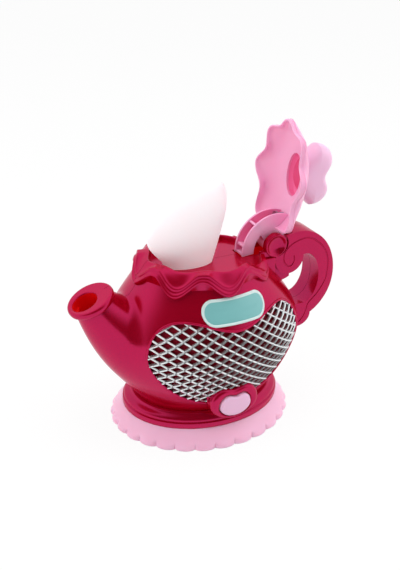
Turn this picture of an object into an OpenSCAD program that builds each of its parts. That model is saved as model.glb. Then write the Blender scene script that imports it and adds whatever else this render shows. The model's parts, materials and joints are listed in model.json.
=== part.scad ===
/* [Body] */
// Length of the belly along X, without spout and handle
belly_l = 138; // [134:1:142]
// Depth of the belly along Y
belly_d = 110; // [107:1:114]
// Height of the belly's widest ring above the table
belly_z = 68; // [65:1:71]
// Length of the belly's open foot
foot_l = 98; // [96:1:100]
// Depth of the belly's open foot
foot_d = 79; // [78:1:81]
// Length of the flat deck at the top of the belly
deck_l = 86; // [85:1:88]
// Depth of the flat deck
deck_d = 74; // [73:1:76]
// How far the deck's centre lies towards the spout
deck_shift = 3.3; // [2.8:0.1:3.8]
// Height of the deck above the table
deck_z = 116; // [114:1:118]
// Wall of the moulded shells
wall = 2.2; // [1.8:0.1:2.6]

/* [Collar] */
// Length of the frill's hem
hem_l = 95; // [94:1:97]
// Depth of the frill's hem
hem_d = 83.6; // [82:0.2:85]
// Length of the frill's inner edge
brim_l = 78; // [77:1:80]
// Depth of the frill's inner edge
brim_d = 65; // [64:1:66]
// Height of the frill's inner edge above the deck
brim_h = 3; // [2.4:0.1:3.4]
// Number of waves round the frill and the lid
lobes = 8; // [8:4:16]
// How far the hem waves in and out
hem_wave = 2.2; // [1.2:0.1:2.8]
// How far the hem waves up and down
hem_drop = 4.2; // [3:0.1:5]

/* [Spout] */
// Distance of the spout's mouth from the kettle's axis
spout_x = 80; // [78:1:82]
// Height of the spout's mouth
spout_z = 101; // [99:1:103]
// Outer radius of the spout behind its lip
spout_r = 12.5; // [12:0.5:13.5]
// How much wider the spout's root is
spout_taper = 26.5; // [25:0.5:28]
// Radius of the flat lip
lip_r = 15; // [14.5:0.5:16]
// Thickness of the lip
lip_t = 4; // [3:0.5:5]
// Radius of the pouring hole
pour_r = 8; // [7:0.5:9]
// How far the pouring hole lies below the middle of the lip
pour_shift = 3; // [2:0.5:4]

/* [Base] */
// Length of the saucer over its scallop tips
saucer_l = 132; // [130:1:136]
// Depth of the saucer over its scallop tips
saucer_d = 110; // [108:1:114]
// Height of the saucer's flat top
saucer_h = 12; // [11:0.5:13]
// Number of scallops round the saucer's hem
scallops = 28; // [24:1:32]
// Depth of the notches between the scallops
scallop_depth = 1.9; // [0.8:0.1:2.2]
// Thickness of the saucer's floor
floor_t = 2; // [1.6:0.1:2.4]
// Length of the plinth at its lower edge
plinth_l = 114.6; // [113:0.1:116]
// Depth of the plinth at its lower edge
plinth_d = 90; // [89:0.5:92]
// Height of the plinth
plinth_h = 10.5; // [9.5:0.5:11.5]

/* [Handle] */
// Distance of the handle's loop centre from the kettle's axis
handle_x = 68; // [67:0.5:69]
// Height of the handle's loop centre
handle_z = 93; // [92:0.5:94]
// Reach of the handle's loop from its centre
handle_rx = 31; // [30:0.2:32]
// Height of the loop above its centre
handle_up = 36.4; // [35:0.2:37]
// Depth of the loop below its centre
handle_down = 33; // [32:0.2:34]
// Half length of the finger gap
finger_rx = 12.4; // [11.5:0.1:13]
// Height of the finger gap above its middle
finger_up = 20.7; // [20:0.1:21.5]
// Depth of the finger gap below its middle
finger_down = 18.2; // [17:0.1:19]
// Radius of the scroll at the handle's upper end
scroll_r = 11.3; // [10.5:0.1:12]
// Thickness of the handle along Y
handle_t = 21; // [20:0.5:22]

/* [Lid] */
// Distance of the hinge axis from the kettle's axis
hinge_x = 50.5; // [50:0.5:51.5]
// Height of the hinge axis above the deck
hinge_h = 6; // [5.5:0.5:6.5]
// Angle to which the lid stands open
open_deg = 95; // [85:1:98]
// Distance of the lid's tip from the kettle's axis, closed
lid_tip = 35.5; // [34:0.5:36.5]
// Distance of the lid's hinge end from the kettle's axis, closed
lid_end = 40; // [39:0.5:40.5]
// Width of the lid over its lobes
lid_w = 58; // [56:1:60]
// How far the lid's hem waves in and out
lid_wave = 3.2; // [1.5:0.1:3.5]
// How far the lid's hem waves up and down
lid_drop = 1.7; // [0.8:0.1:1.9]
// Height of the lid's edge band
lid_band = 4.5; // [3.5:0.5:5.5]
// Rise of the dome above the band
lid_rise = 10; // [8:0.5:11]
// Length of the oval hole under the knob
knob_hole_l = 30; // [28:1:32]
// Width of the oval hole under the knob
knob_hole_w = 16.4; // [15:0.2:17]
// Width of the heart knob
knob_w = 43; // [41:1:45]
// Height of the heart knob
knob_h = 25; // [23:1:27]
// Thickness of the heart knob
knob_t = 20; // [19:0.2:22]
// Outer radius of the lid arm's channel
arm_r = 25.4; // [24.6:0.2:26]
// Radial depth of the lid arm's channel
arm_depth = 9; // [8:0.5:10]
// Width of the lid arm
arm_w = 11; // [10.5:0.5:12]
// Radius of the hinge ears
ear_r = 8.4; // [7.6:0.2:8.6]
// Thickness of one hinge ear
ear_t = 4.8; // [4.4:0.1:5.4]
// Radius of the hinge pin
pin_r = 1.5; // [1.2:0.1:1.8]

/* [Plume] */
// Length of the plume's foot in the deck
plume_l = 35; // [33:1:36]
// Thickness of the plume's foot
plume_t = 18; // [16:1:19]
// Height of the plume above the deck
plume_h = 55; // [45:1:60]
// How far the middle of the plume's foot lies towards the spout
plume_x = 12.5; // [11.5:0.5:13.5]

/* [Front] */
// Half width of the heart grille
grille_w = 56.5; // [54:0.5:57.5]
// Height of the grille's lowest point
grille_z0 = 31; // [30:1:33]
// Height of the grille's lobes
grille_z1 = 94.5; // [91:0.5:96]
// Depth of the notch between the lobes
grille_notch = 7.3; // [5:0.1:9]
// Width of a diamond in the lattice
diamond_w = 15; // [13:1:18]
// Height of a diamond in the lattice
diamond_h = 10; // [9:1:12]
// Width of a lattice bar
bar_w = 1.7; // [1.3:0.1:2]
// Thickness of the grille
grille_t = 1.5; // [1.2:0.1:1.7]
// Length of the plaque
plaque_l = 46; // [40:1:48]
// Height of the plaque
plaque_h = 16; // [13:1:16]
// Height of the plaque's middle above the table
plaque_z = 99.8; // [99.6:0.2:100.4]

/* [Button] */
// Width of the heart bezel
bezel_w = 36; // [35:0.5:37]
// Height of the heart bezel
bezel_h = 27; // [26:0.5:28]
// Height of the bezel's lowest point
bezel_z = 20; // [19:0.5:21]
// Distance of the bezel's face from the kettle's axis
bezel_y = 51; // [50:0.5:52]
// Width of the heart button
button_w = 24; // [22:0.5:25]
// Height of the heart button
button_h = 16.6; // [15:0.2:17.4]
// Height of the button's lowest point
button_z = 23.4; // [23:0.2:24]
// How far the button stands proud of the bezel
button_proud = 1.4; // [0.8:0.1:2]
// How far the button is pressed
button_travel = 2.5; // [1.5:0.1:2.6]

/* [Electrics] */
// Diameter of a battery cell
cell_d = 14.5; // [14:0.1:14.6]
// Length of a battery cell
cell_l = 50.5; // [50:0.1:50.6]
// Number of battery cells
cells = 3; // [2:1:3]
// Wall of the battery box
box_wall = 1.8; // [1.4:0.1:2]
// Radius of the speaker's flange
speaker_r = 20; // [19:0.5:20.5]
// Length of the circuit board
board_l = 44; // [42:1:46]
// Height of the circuit board
board_h = 19; // [17:1:20]

/* [Fits] */
// Running clearance of the hinge pin, on the radius
pin_gap = 0.05; // [0.02:0.01:0.1]
// Gap round the button in its bezel
button_gap = 0.4; // [0.3:0.05:0.6]
// Gap between moving pieces and the shell
swing_gap = 1.2; // [0.8:0.1:1.6]
// Gap between fixed pieces that fit into one another
seat_gap = 0.1; // [0.05:0.05:0.2]
// Radius of a screw's shank
screw_r = 1.2; // [1:0.1:1.3]
// Radius of a screw's head
screw_head_r = 2.5; // [2.2:0.1:2.6]
// Height of a screw's head
screw_head_h = 1.6; // [1.2:0.1:1.8]

/* [Hidden] */

crimson = "#B80A3E";
rose = "#F3A0C8";
lilac = "#E8AFD7";
blush = "#F0B4D0";
frost = "#F4F0F0";
silver = "#C8CCD0";
teal = "#78B4B4";
steel = "#A8ABB0";
$fn = 40;
round_steps = 48;
belly_steps = 6;
front_steps = 28;
front_rows = 3;
hole_fn = 12;
plume_steps = 24;
body_z0 = saucer_h + plinth_h;
hinge_z = deck_z + hinge_h;
brim_z = deck_z + brim_h;
arm_off = [4.4, 0.9];
arm_from = 165;
tail_deg = 280;
tail_tip = arm_off + arm_r*[cos(tail_deg), sin(tail_deg)];
slot_r = norm(tail_tip) + swing_gap;
slot_w = arm_w + 2*swing_gap;
root_x = hinge_x + tail_tip[0] + swing_gap;
tab_l = 16;
tab_x = hinge_x - 2;
tab_w = slot_w + 2*ear_t + 3;
tab_z = deck_z - 2;
tab_h = 13;
boss_r = 4;
pilot_r = screw_r + seat_gap;
head_hole_r = screw_head_r + 0.3;
many = 200;
grille_inset = 0.4;
plinth_flange = 2.5;
base_seat_z = floor_t + 3;
base_head_z = base_seat_z - 2;
hem_t = 2.2;
shell_head_y = 12;
shell_screw_l = 20;
retainer_z = deck_z - wall - 3;
retainer_screw_y = plume_t/2 + 7;
handle_head_y = 5;
handle_screw_l = 11;
base_screw_l = 9;
plinth_screw_l = 10;
gap_at = [handle_x + 6.3, handle_z - 2.2];
scroll_at = [handle_x - 7, handle_z + 17];
toe_at = [handle_x + 4, handle_z - 30];
toe_rx = 10.3;
toe_rz = 9;
ear_y = slot_w/2 + seat_gap + ear_t;
ear_dish = 1.6;
ear_cap = 1.2;
pin_half = ear_y - ear_dish - ear_cap;
lid_z = brim_z + 1.2;
lid_cx = 3;
lid_t = 2;
lid_top = lid_z + lid_band + lid_rise;
knob_x = lid_cx + 1.2;
pad_z = lid_z + 6.8;
pad_l = 17;
pad_end = lid_end - 4;
arm_screw_x = lid_end - 8;
arm_seat_z = pad_z - 3;
hub_r = ear_r - 1;
bezel_back = bezel_y - 12;
bezel_lip = 6;
button_flange = 1.8;
button_flange_y = bezel_y - bezel_lip - 0.3;
button_flange_t = 1.8;
board_t = 1.6;
board_y = 31;
board_z0 = body_z0 + 1.5;
board_screw_z = button_z + 0.58*button_h;
board_screw_x = board_l/2 - 4;
switch_w = 6;
switch_h = 3.5;
switch_stub = 1.1;
stem_r = 2.2;
stem_end_y = board_y + board_t + switch_h + switch_stub + button_travel + 0.2;
spring_wire = 0.35;
spring_turns = 4;
spring_mid_r = switch_w/2*1.42 + 0.9;
spring_y0 = board_y + board_t;
spring_y1 = button_flange_y - button_flange_t;
speaker_y = belly_d/2 - 11;
speaker_z = bezel_z + bezel_h + speaker_r + 2;
speaker_screw_deg = [30, 150, 270];
speaker_h = 8;
speaker_flange = 1.4;
cone_r = 9;
magnet_r = 11;
magnet_h = 6;
speaker_hole_r = speaker_r - 2.8;
cell_pitch = cell_d + 0.7;
box_l = cell_l + 4;
box_w = cells*cell_pitch + 3;
box_h = cell_d + 1.4;
door_screw_x = box_l/2 + box_wall + boss_r - 1;
door_x0 = -box_l/2 + 2*seat_gap;
door_x1 = door_screw_x + boss_r;
door_w = box_w - 4*seat_gap;
cell_z = floor_t + 0.3 + cell_d/2;
door_screw_l = 8;
door_seat_z = floor_t - 0.6;

// Shared outlines and solids

function mix(p, q, s) = p + (q - p)*s;
function oval(cx, a, b, z, n = round_steps) =
    [for (i = [0:n - 1]) [cx + a*cos(360*i/n), b*sin(360*i/n), z]];
function oval_2d(cx, cy, a, b, n = 48) = [for (i = [0:n - 1]) [cx + a*cos(360*i/n), cy + b*sin(360*i/n)]];

// A soft heart w wide and h high, its lowest point at the origin and its notch drawn in by notch
function heart_2d(w, h, notch, power, lobe = 0.55, side = 0.6, steps = 20) =
    let (half = w/2, lobe_x = lobe*half, side_z = side*h,
         xs = [for (i = [0:steps]) -half*cos(180*i/steps)],
         low = [for (x = xs) side_z*pow(abs(x)/half, power)],
         top = [for (x = xs) abs(x) > lobe_x
             ? side_z + (h - side_z)*sqrt(max(0, 1 - pow((abs(x) - lobe_x)/(half - lobe_x), 2)))
             : h - notch*(1 + cos(180*x/lobe_x))/2])
    concat([for (i = [0:steps]) [xs[i], low[i]]], [for (i = [steps - 1:-1:1]) [xs[i], top[i]]]);

// A solid through closed rings that have the same number of points
module loft(rings) {
    n = len(rings[0]);
    last = len(rings) - 1;
    points = [for (r = rings) each r];
    sides = [for (j = [0:last - 1], i = [0:n - 1]) let (k = (i + 1) % n)
        each [[j*n + i, j*n + n + i, j*n + n + k], [j*n + i, j*n + n + k, j*n + k]]];
    caps = [[for (i = [0:n - 1]) i], [for (i = [n - 1:-1:0]) last*n + i]];
    polyhedron(points, concat(sides, caps), convexity = 6);
}

// A closed skin whose sections follow one another round a loop
module loop_skin(sections) {
    n = len(sections[0]);
    m = len(sections);
    points = [for (s = sections) each s];
    faces = [for (j = [0:m - 1], i = [0:n - 1]) let (k = (i + 1) % n, l = (j + 1) % m)
        each [[j*n + i, l*n + k, j*n + k], [j*n + i, l*n + i, l*n + k]]];
    polyhedron(points, faces, convexity = 10);
}

// Keeps a blended moulding one faceted skin
module moulded() {
    resize([0, 0, 0]) children();
}

// Stands a flat outline up in the XZ plane, from y0 to y1
module stand(y0, y1) {
    translate([0, y1, 0]) rotate([90, 0, 0]) linear_extrude(y1 - y0) children();
}

// Half length of the belly at height z, from foot, widest ring and deck
function belly_half(z, foot, mid, deck) =
    z < belly_z ? foot + (mid - foot)*(1 - pow((belly_z - z)/(belly_z - body_z0), 1.5))
                : deck + (mid - deck)*pow(cos(90*min(1, (z - belly_z)/(deck_z - belly_z))), 1.2);
function belly_cx(z) = -deck_shift*pow(max(0, (z - belly_z)/(deck_z - belly_z)), 2);
function belly_ring(z, inset, n = round_steps) =
    oval(belly_cx(z), belly_half(z, foot_l, belly_l, deck_l)/2 - inset,
         belly_half(z, foot_d, belly_d, deck_d)/2 - inset, z, n);
function belly_levels(z0, z1, rows) =
    concat([for (i = [0:rows - 1]) mix(z0, belly_z, i/rows)],
           [for (i = [0:rows]) mix(belly_z, z1, i/rows)]);

// The belly drawn in by inset, between two heights
module belly(inset, z0 = body_z0, z1 = deck_z, n = round_steps, rows = belly_steps) {
    loft([for (z = belly_levels(z0, z1, rows)) belly_ring(z, inset, n)]);
}

// A skin that follows the belly's front, from inset0 to inset1 deep
module belly_layer(inset0, inset1, z0, z1) {
    difference() {
        belly(inset0, z0, z1, front_steps, front_rows);
        belly(inset1, z0 - 1, z1 + 1, front_steps, front_rows);
    }
}

// The spout's curved axis
spout_p = [[-30, 60], [-57, 66], [-spout_x, spout_z]];
function spout_at(t) =
    mix(mix(spout_p[0], spout_p[1], t), mix(spout_p[1], spout_p[2], t), t);
function spout_dir(t) =
    let (d = mix(spout_p[1] - spout_p[0], spout_p[2] - spout_p[1], t)) d/norm(d);
function spout_ring(t, r) =
    let (p = spout_at(t), d = spout_dir(t))
    [for (i = [0:29]) let (f = 12*i)
        [p[0] - r*sin(f)*d[1], r*cos(f), p[1] + r*sin(f)*d[0]]];
module spout(inset) {
    loft([for (i = [0:6]) let (t = i/6) spout_ring(t, spout_r + spout_taper*(1 - t) - inset)]);
}
module at_mouth() {
    d = spout_dir(1);
    translate([-spout_x, 0, spout_z]) rotate([0, atan2(d[0], d[1]), 0]) children();
}

// The wavy frill round the deck: one section at angle f
function frill_section(f) =
    let (c = cos(lobes*f),
         top = brim_z - 0.8*c,
         hem = deck_z - 2.3 - hem_drop*c,
         inner = [brim_l/2*cos(f), brim_d/2*sin(f)],
         outer = [(hem_l/2 + hem_wave*c)*cos(f) - deck_shift, (hem_d/2 + hem_wave*c)*sin(f)],
         shape = [[0, deck_z - 1.5], [0, top - 0.6], [0.12, top], [0.4, top - 0.6],
                  [0.6, mix(top, hem, 0.45)], [1, hem + 0.9], [0.97, hem - 0.7],
                  [0.62, mix(top, hem, 0.85)], [0.35, deck_z - 3.5]])
    [for (s = shape) let (p = mix(inner, outer, s[0])) [p[0], p[1], s[1]]];
module frill() {
    loop_skin([for (i = [0:lobes*6 - 1]) frill_section(60*i/lobes)]);
}

// Everything the lid arm passes through
module arm_sweep() {
    intersection() {
        translate([hinge_x, 0, hinge_z]) rotate([90, 0, 0])
            cylinder(r = slot_r, h = slot_w, center = true);
        translate([0, -slot_w, 0]) cube([root_x, 2*slot_w, many]);
    }
}

// The hollow root behind the hinge, which takes the arm's tail
module tail_housing() {
    intersection() {
        translate([hinge_x, 0, hinge_z]) rotate([90, 0, 0])
            cylinder(r = slot_r + wall, h = slot_w + 2*wall, center = true);
        translate([hinge_x - arm_r, -slot_w, 0]) cube([root_x + wall - hinge_x + arm_r, 2*slot_w, tab_z]);
    }
}

// The flat tab that carries the hinge ears
module hinge_tab() {
    translate([tab_x - tab_l, -tab_w/2, tab_z - tab_h]) cube([tab_l, tab_w, tab_h]);
}

// Places of the screws that hold the two halves together, in XZ
shell_screw_at = [[-45, 38], [45, 38], [-36, 103], [16, 103]];

// Places of the screws between plinth and body, and between saucer and plinth
plinth_screw_deg = 25;
plinth_screw_in = wall + boss_r - 1.5;
plinth_screw_x = (foot_l/2 - plinth_screw_in)*cos(plinth_screw_deg);
plinth_screw_y = (foot_d/2 - plinth_screw_in)*sin(plinth_screw_deg);
plinth_screw_at = [for (x = [-1, 1], y = [-1, 1]) [x*plinth_screw_x, y*plinth_screw_y]];
base_screw_x = 20;
base_screw_y = box_w/2 + box_wall + boss_r + 1 + 3*seat_gap;
base_screw_at = [for (x = [-1, 1], y = [-1, 1]) [x*base_screw_x, y*base_screw_y]];

// The grille's heart on the front
module grille_outline(g = 0) {
    offset(delta = g) translate([0, grille_z0])
        polygon(heart_2d(2*grille_w, grille_z1 - grille_z0, grille_notch, 3, 0.67));
}

// The bezel's outline, grown by g
module bezel_outline(g = 0) {
    translate([0, bezel_z]) offset(delta = g) polygon(heart_2d(bezel_w, bezel_h, 4, 2.2));
}
module button_outline(g = 0) {
    translate([0, button_z]) offset(delta = g) polygon(heart_2d(button_w, button_h, 2.4, 2.2));
}

// The deck's oval slot for the plume, grown by g, at height z
module plume_oval(g, z0, z1) {
    translate([0, 0, z0]) linear_extrude(z1 - z0)
        polygon(oval_2d(-plume_x, 0, plume_l/2 + g, plume_t/2 + g));
}

module body_shell() {
    difference() {
        union() {
            difference() {
                union() {
                    belly(0);
                    spout(0);
                    at_mouth() translate([0, 0, -lip_t/2]) cylinder(r = lip_r, h = lip_t, $fn = 36);
                    tail_housing();
                    hinge_tab();
                }
                belly(wall, body_z0 - 1, deck_z - wall);
                spout(wall);
                at_mouth() translate([-pour_shift, 0, -lip_t])
                    cylinder(r = pour_r, h = 3*lip_t, $fn = 30);
            }
            difference() {
                frill();
                translate([tab_x - tab_l, -tab_w/2, 0]) cube([many, tab_w, many]);
            }
            intersection() {
                belly(wall/2);
                shell_bosses();
            }
        }
        arm_sweep();
        plume_oval(seat_gap, deck_z - 2*wall, deck_z + 1);
        stand(-many, -bezel_back + 1) bezel_outline(seat_gap);
        stand(-many, -belly_d/6) grille_outline();
        shell_holes();
    }
}

module shell_bosses() {
    for (p = shell_screw_at)
        translate([p[0], 0, p[1]]) rotate([90, 0, 0])
            cylinder(r = boss_r, h = many, center = true, $fn = hole_fn);
    for (p = plinth_screw_at)
        translate([p[0], p[1], body_z0]) cylinder(r = boss_r, h = 12, $fn = hole_fn);
    for (s = [-1, 1])
        translate([-plume_x, s*retainer_screw_y, retainer_z])
            cylinder(r = boss_r - 1, h = deck_z - retainer_z, $fn = hole_fn);
}

module shell_holes() {
    for (p = shell_screw_at) {
        translate([p[0], shell_head_y, p[1]]) rotate([-90, 0, 0])
            cylinder(r = head_hole_r, h = many, $fn = hole_fn);
        translate([p[0], shell_head_y + 1, p[1]]) rotate([90, 0, 0])
            cylinder(r = pilot_r + seat_gap, h = shell_screw_l + 3, $fn = hole_fn);
    }
    for (p = plinth_screw_at)
        translate([p[0], p[1], body_z0 - 1]) cylinder(r = pilot_r + seat_gap, h = 11, $fn = hole_fn);
    for (s = [-1, 1])
        translate([-plume_x, s*retainer_screw_y, retainer_z - 1])
            cylinder(r = pilot_r + seat_gap, h = 5, $fn = hole_fn);
}

module body_front() {
    color(crimson) moulded() intersection() {
        body_shell();
        translate([-many, -many, 0]) cube([2*many, many, many]);
    }
}

module body_back() {
    color(crimson) moulded() intersection() {
        body_shell();
        translate([-many, 0, 0]) cube([2*many, many, many]);
    }
}

// Base

module saucer() {
    tips = scallops*3;
    function hem(k, z) = [for (i = [0:tips - 1]) let (f = 360*i/tips,
        d = k*scallop_depth*pow(abs(cos(scallops*f/2)), 6))
        [(saucer_l/2 - d)*cos(f), (saucer_d/2 - d)*sin(f), z]];
    function slope(s) = [for (p = hem(1 - s, 0)) [mix(p[0], p[0]*plinth_l/saucer_l, s),
        mix(p[1], p[1]*plinth_d/saucer_d, s), mix(hem_t, saucer_h, s)]];
    color(blush) moulded() difference() {
        union() {
            difference() {
                loft([hem(1, 0), hem(1, hem_t), slope(0.4), slope(1)]);
                loft([oval(0, saucer_l/2 - 5, saucer_d/2 - 5, floor_t),
                      oval(0, plinth_l/2 - wall, plinth_d/2 - wall, saucer_h - wall)]);
                translate([0, 0, floor_t]) linear_extrude(many)
                    polygon(oval_2d(0, 0, plinth_l/2 - 7, plinth_d/2 - 6));
            }
            for (p = base_screw_at)
                translate([p[0], p[1], floor_t/2])
                    cylinder(r = boss_r + 1, h = base_seat_z - floor_t/2, $fn = hole_fn);
        }
        translate([door_x0 - seat_gap, -door_w/2 - seat_gap, -1])
            cube([door_x1 - door_x0 + 2*seat_gap, door_w + 2*seat_gap, floor_t + 2]);
        for (p = base_screw_at) {
            translate([p[0], p[1], -1]) cylinder(r = head_hole_r, h = base_head_z + 1, $fn = hole_fn);
            translate([p[0], p[1], -1]) cylinder(r = pilot_r + seat_gap, h = many, $fn = hole_fn);
        }
    }
}

module plinth() {
    steps = [[0, 0], [0, 0.38], [-1, 0.43], [-0.5, 0.5]];
    color(crimson) moulded() difference() {
        union() {
            difference() {
                loft(concat([for (s = steps) let (z = saucer_h + s[1]*plinth_h)
                                oval(0, plinth_l/2 + s[0], plinth_d/2 + s[0], z)],
                            [oval(0, foot_l/2 + 1.5, foot_d/2 + 1.5, body_z0)]));
                loft([oval(0, plinth_l/2 - 6, plinth_d/2 - 6, saucer_h - 1),
                      oval(0, foot_l/2 - 1, foot_d/2 - 1, body_z0 - plinth_flange)]);
                translate([0, 0, saucer_h]) linear_extrude(many)
                    polygon(oval_2d(0, 0, foot_l/2 - 11, foot_d/2 - 9.5));
            }
            for (p = base_screw_at)
                translate([p[0], p[1], base_seat_z])
                    cylinder(r = boss_r, h = body_z0 - base_seat_z - plinth_flange/2, $fn = hole_fn);
            for (s = [-1, 1])
                translate([s*board_screw_x - 2.5, -board_y, body_z0 - plinth_flange/2])
                    cube([5, 4, board_screw_z + 3 - body_z0 + plinth_flange/2]);
        }
        stand(-many, -bezel_back + 1) bezel_outline(seat_gap);
        for (p = base_screw_at)
            translate([p[0], p[1], 0]) cylinder(r = pilot_r, h = base_seat_z + 9, $fn = hole_fn);
        for (p = plinth_screw_at)
            translate([p[0], p[1], 0]) cylinder(r = pilot_r + 2*seat_gap, h = many, $fn = hole_fn);
        for (s = [-1, 1])
            translate([s*board_screw_x, 0, board_screw_z]) rotate([90, 0, 0])
                cylinder(r = pilot_r, h = many, $fn = hole_fn);
    }
}

// Handle

function egg_2d(at, rx, up, down, n = 60) =
    [for (i = [0:n - 1]) let (f = 360*i/n) at + [rx*cos(f), (sin(f) > 0 ? up : down)*sin(f)]];

// The loop with its finger gap, the scroll above and the toe below
module handle_outline() {
    difference() {
        polygon(egg_2d([handle_x, handle_z], handle_rx, handle_up, handle_down));
        polygon(egg_2d(gap_at, finger_rx, finger_up, finger_down));
        translate([0, gap_at[1] - finger_down]) square([gap_at[0], finger_up + finger_down]);
    }
    translate(scroll_at) circle(r = scroll_r, $fn = 40);
    polygon(oval_2d(toe_at[0], toe_at[1], toe_rx, toe_rz));
}

// One half of the handle, between y = 0 and its outer face, cut to the belly, the hinge and its root
module handle_half() {
    round_edge = 1.6;
    root_y = slot_w/2 + wall + seat_gap;
    difference() {
        union() {
            stand(-handle_t/2 + round_edge, 0) handle_outline();
            stand(-handle_t/2, 0) offset(delta = -round_edge) handle_outline();
        }
        belly(-seat_gap, body_z0, deck_z);
        translate([0, -root_y, 0]) cube([root_x + wall + seat_gap, many, many]);
        translate([0, -many/2, 0]) cube([tab_x + swing_gap, many, many]);
        translate([hinge_x, 0, hinge_z]) rotate([90, 0, 0]) cylinder(r = ear_r + 2*seat_gap, h = many);
    }
}
function on_handle(f) = mix(egg_2d([handle_x, handle_z], handle_rx, handle_up, handle_down)[f/6],
                            egg_2d(gap_at, finger_rx, finger_up, finger_down)[f/6], 0.5);
handle_screw_at = [on_handle(30), on_handle(330)];

module handle_front() {
    color(crimson) moulded() difference() {
        handle_half();
        for (p = handle_screw_at)
            translate([p[0], 1, p[1]]) rotate([90, 0, 0])
                cylinder(r = pilot_r, h = handle_t/2 - 1.5, $fn = hole_fn);
    }
}

module handle_back() {
    color(crimson) moulded() difference() {
        mirror([0, 1, 0]) handle_half();
        for (p = handle_screw_at) {
            translate([p[0], -1, p[1]]) rotate([-90, 0, 0])
                cylinder(r = pilot_r + seat_gap, h = many, $fn = hole_fn);
            translate([p[0], handle_head_y, p[1]]) rotate([-90, 0, 0])
                cylinder(r = head_hole_r, h = many, $fn = hole_fn);
        }
    }
}

// Hinge and lid

module hinge_ear() {
    difference() {
        stand(-ear_y, -slot_w/2 - seat_gap) intersection() {
            union() {
                translate([hinge_x, hinge_z]) circle(r = ear_r);
                polygon([[tab_x - 7, tab_z], [tab_x, tab_z], [hinge_x + ear_r/2, hinge_z - ear_r/2],
                         [hinge_x - ear_r + 0.5, hinge_z - 1]]);
            }
            translate([0, tab_z]) square(many);
        }
        translate([hinge_x, 0, hinge_z]) rotate([90, 0, 0])
            cylinder(r = pin_r + pin_gap, h = pin_half + seat_gap);
        translate([hinge_x, -ear_y + ear_dish, hinge_z]) rotate([90, 0, 0])
            cylinder(r = ear_r - 1.4, h = many);
    }
}

module hinge_ear_front() {
    color(crimson) hinge_ear();
}

module hinge_ear_back() {
    color(crimson) mirror([0, 1, 0]) hinge_ear();
}

module hinge_pin() {
    color(steel) translate([hinge_x, 0, hinge_z]) rotate([90, 0, 0])
        cylinder(r = pin_r, h = 2*pin_half, center = true);
}

// Turns the closed lid open about the hinge
module opened() {
    translate([hinge_x, 0, hinge_z])
        rotate([0, open_deg, 0]) translate([-hinge_x, 0, -hinge_z]) children();
}

// The lid's edge at angle f; k is how much of the wave it takes
function lid_edge(f, k) =
    let (c = k*lid_wave*cos(lobes*f),
         a = cos(f) < 0 ? lid_tip + lid_cx - lid_wave : 1.2*(lid_end - lid_cx))
    [min(lid_end, lid_cx + (a + c)*cos(f)), (lid_w/2 - lid_wave + c)*sin(f)];
function lid_hole(f) = [knob_x + knob_hole_l/2*cos(f), knob_hole_w/2*sin(f)];
function lid_section(f) =
    let (rim = lid_z - lid_drop*cos(lobes*f)*(1 - 0.6*max(0, cos(f))),
         crown = lid_z + lid_band,
         shape = [[0.93, rim, 1], [0.93, rim + 1.2, 0.9], [0.87, crown + 0.22*lid_rise - lid_t, 0.2],
                  [0.65, crown + 0.66*lid_rise - lid_t, 0], [0.35, crown + 0.92*lid_rise - lid_t, 0],
                  [0, lid_top - lid_t, 0], [0, lid_top, 0], [0.35, crown + 0.92*lid_rise, 0],
                  [0.65, crown + 0.66*lid_rise, 0], [0.9, crown + 0.26*lid_rise, 0],
                  [1, crown, 0.2], [1, rim, 1]])
    [for (s = shape) let (p = mix(lid_hole(f), lid_edge(f, s[2]), s[0])) [p[0], p[1], s[1]]];
module lid() {
    pad_x = lid_end - pad_l;
    color(rose) opened() moulded() difference() {
        union() {
            loop_skin([for (i = [0:lobes*6 - 1]) lid_section(60*i/lobes)]);
            stand(-arm_w/2, arm_w/2)
                polygon([[pad_x, pad_z], [pad_end, pad_z], [pad_end, pad_z + 1.2],
                         [arm_screw_x - 3, pad_z + 4.8], [pad_x, lid_top - lid_t + 0.4]]);
        }
        translate([pad_x, -arm_w/2 - seat_gap, 0]) cube([lid_end, arm_w + 2*seat_gap, pad_z]);
        translate([arm_screw_x, 0, pad_z - 1]) cylinder(r = pilot_r, h = 4, $fn = hole_fn);
    }
}

// Points of the lid arm's channel at radius r, from one angle to another
function arm_arc(r, from, to) =
    [for (i = [0:12]) let (f = mix(from, to, i/12)) [hinge_x, hinge_z] + arm_off + r*[cos(f), sin(f)]];

// The curved channel, filled in between the lid and the hinge
module lid_arm() {
    web_to = 230;
    pocket_w = arm_w - 3.4;
    inner_r = arm_r - arm_depth;
    floor_r = inner_r + 2.4;
    pockets = [[190, 220], [225, 260]];
    color(rose) opened() difference() {
        stand(-arm_w/2, arm_w/2) union() {
            polygon(concat(arm_arc(arm_r, arm_from, tail_deg), arm_arc(inner_r, tail_deg, web_to),
                           [[hinge_x, hinge_z - hub_r + 1], [hinge_x, hinge_z + hub_r - 1]]));
            translate([hinge_x, hinge_z]) circle(r = hub_r);
        }
        translate([0, -many/2, pad_z]) cube([lid_end + seat_gap, many, many]);
        for (p = pockets)
            stand(-pocket_w/2, pocket_w/2)
                polygon(concat(arm_arc(floor_r, p[0], p[1]), arm_arc(arm_r + 1, p[1], p[0])));
        translate([hinge_x, 0, hinge_z]) rotate([90, 0, 0])
            cylinder(r = pin_r + pin_gap, h = many, center = true);
        translate([arm_screw_x, 0, 0]) cylinder(r = pilot_r + seat_gap, h = many);
        translate([arm_screw_x, 0, 0]) cylinder(r = head_hole_r, h = arm_seat_z);
    }
}

module arm_screw() {
    color(steel) opened() translate([arm_screw_x, 0, arm_seat_z]) screw(5.5);
}

// A pan-head screw, its head's seat at z = 0 and its shank up
module screw(length, head_h = screw_head_h) {
    translate([0, 0, -head_h]) cylinder(r = screw_head_r, h = head_h);
    cylinder(r = screw_r, h = length);
}

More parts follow.
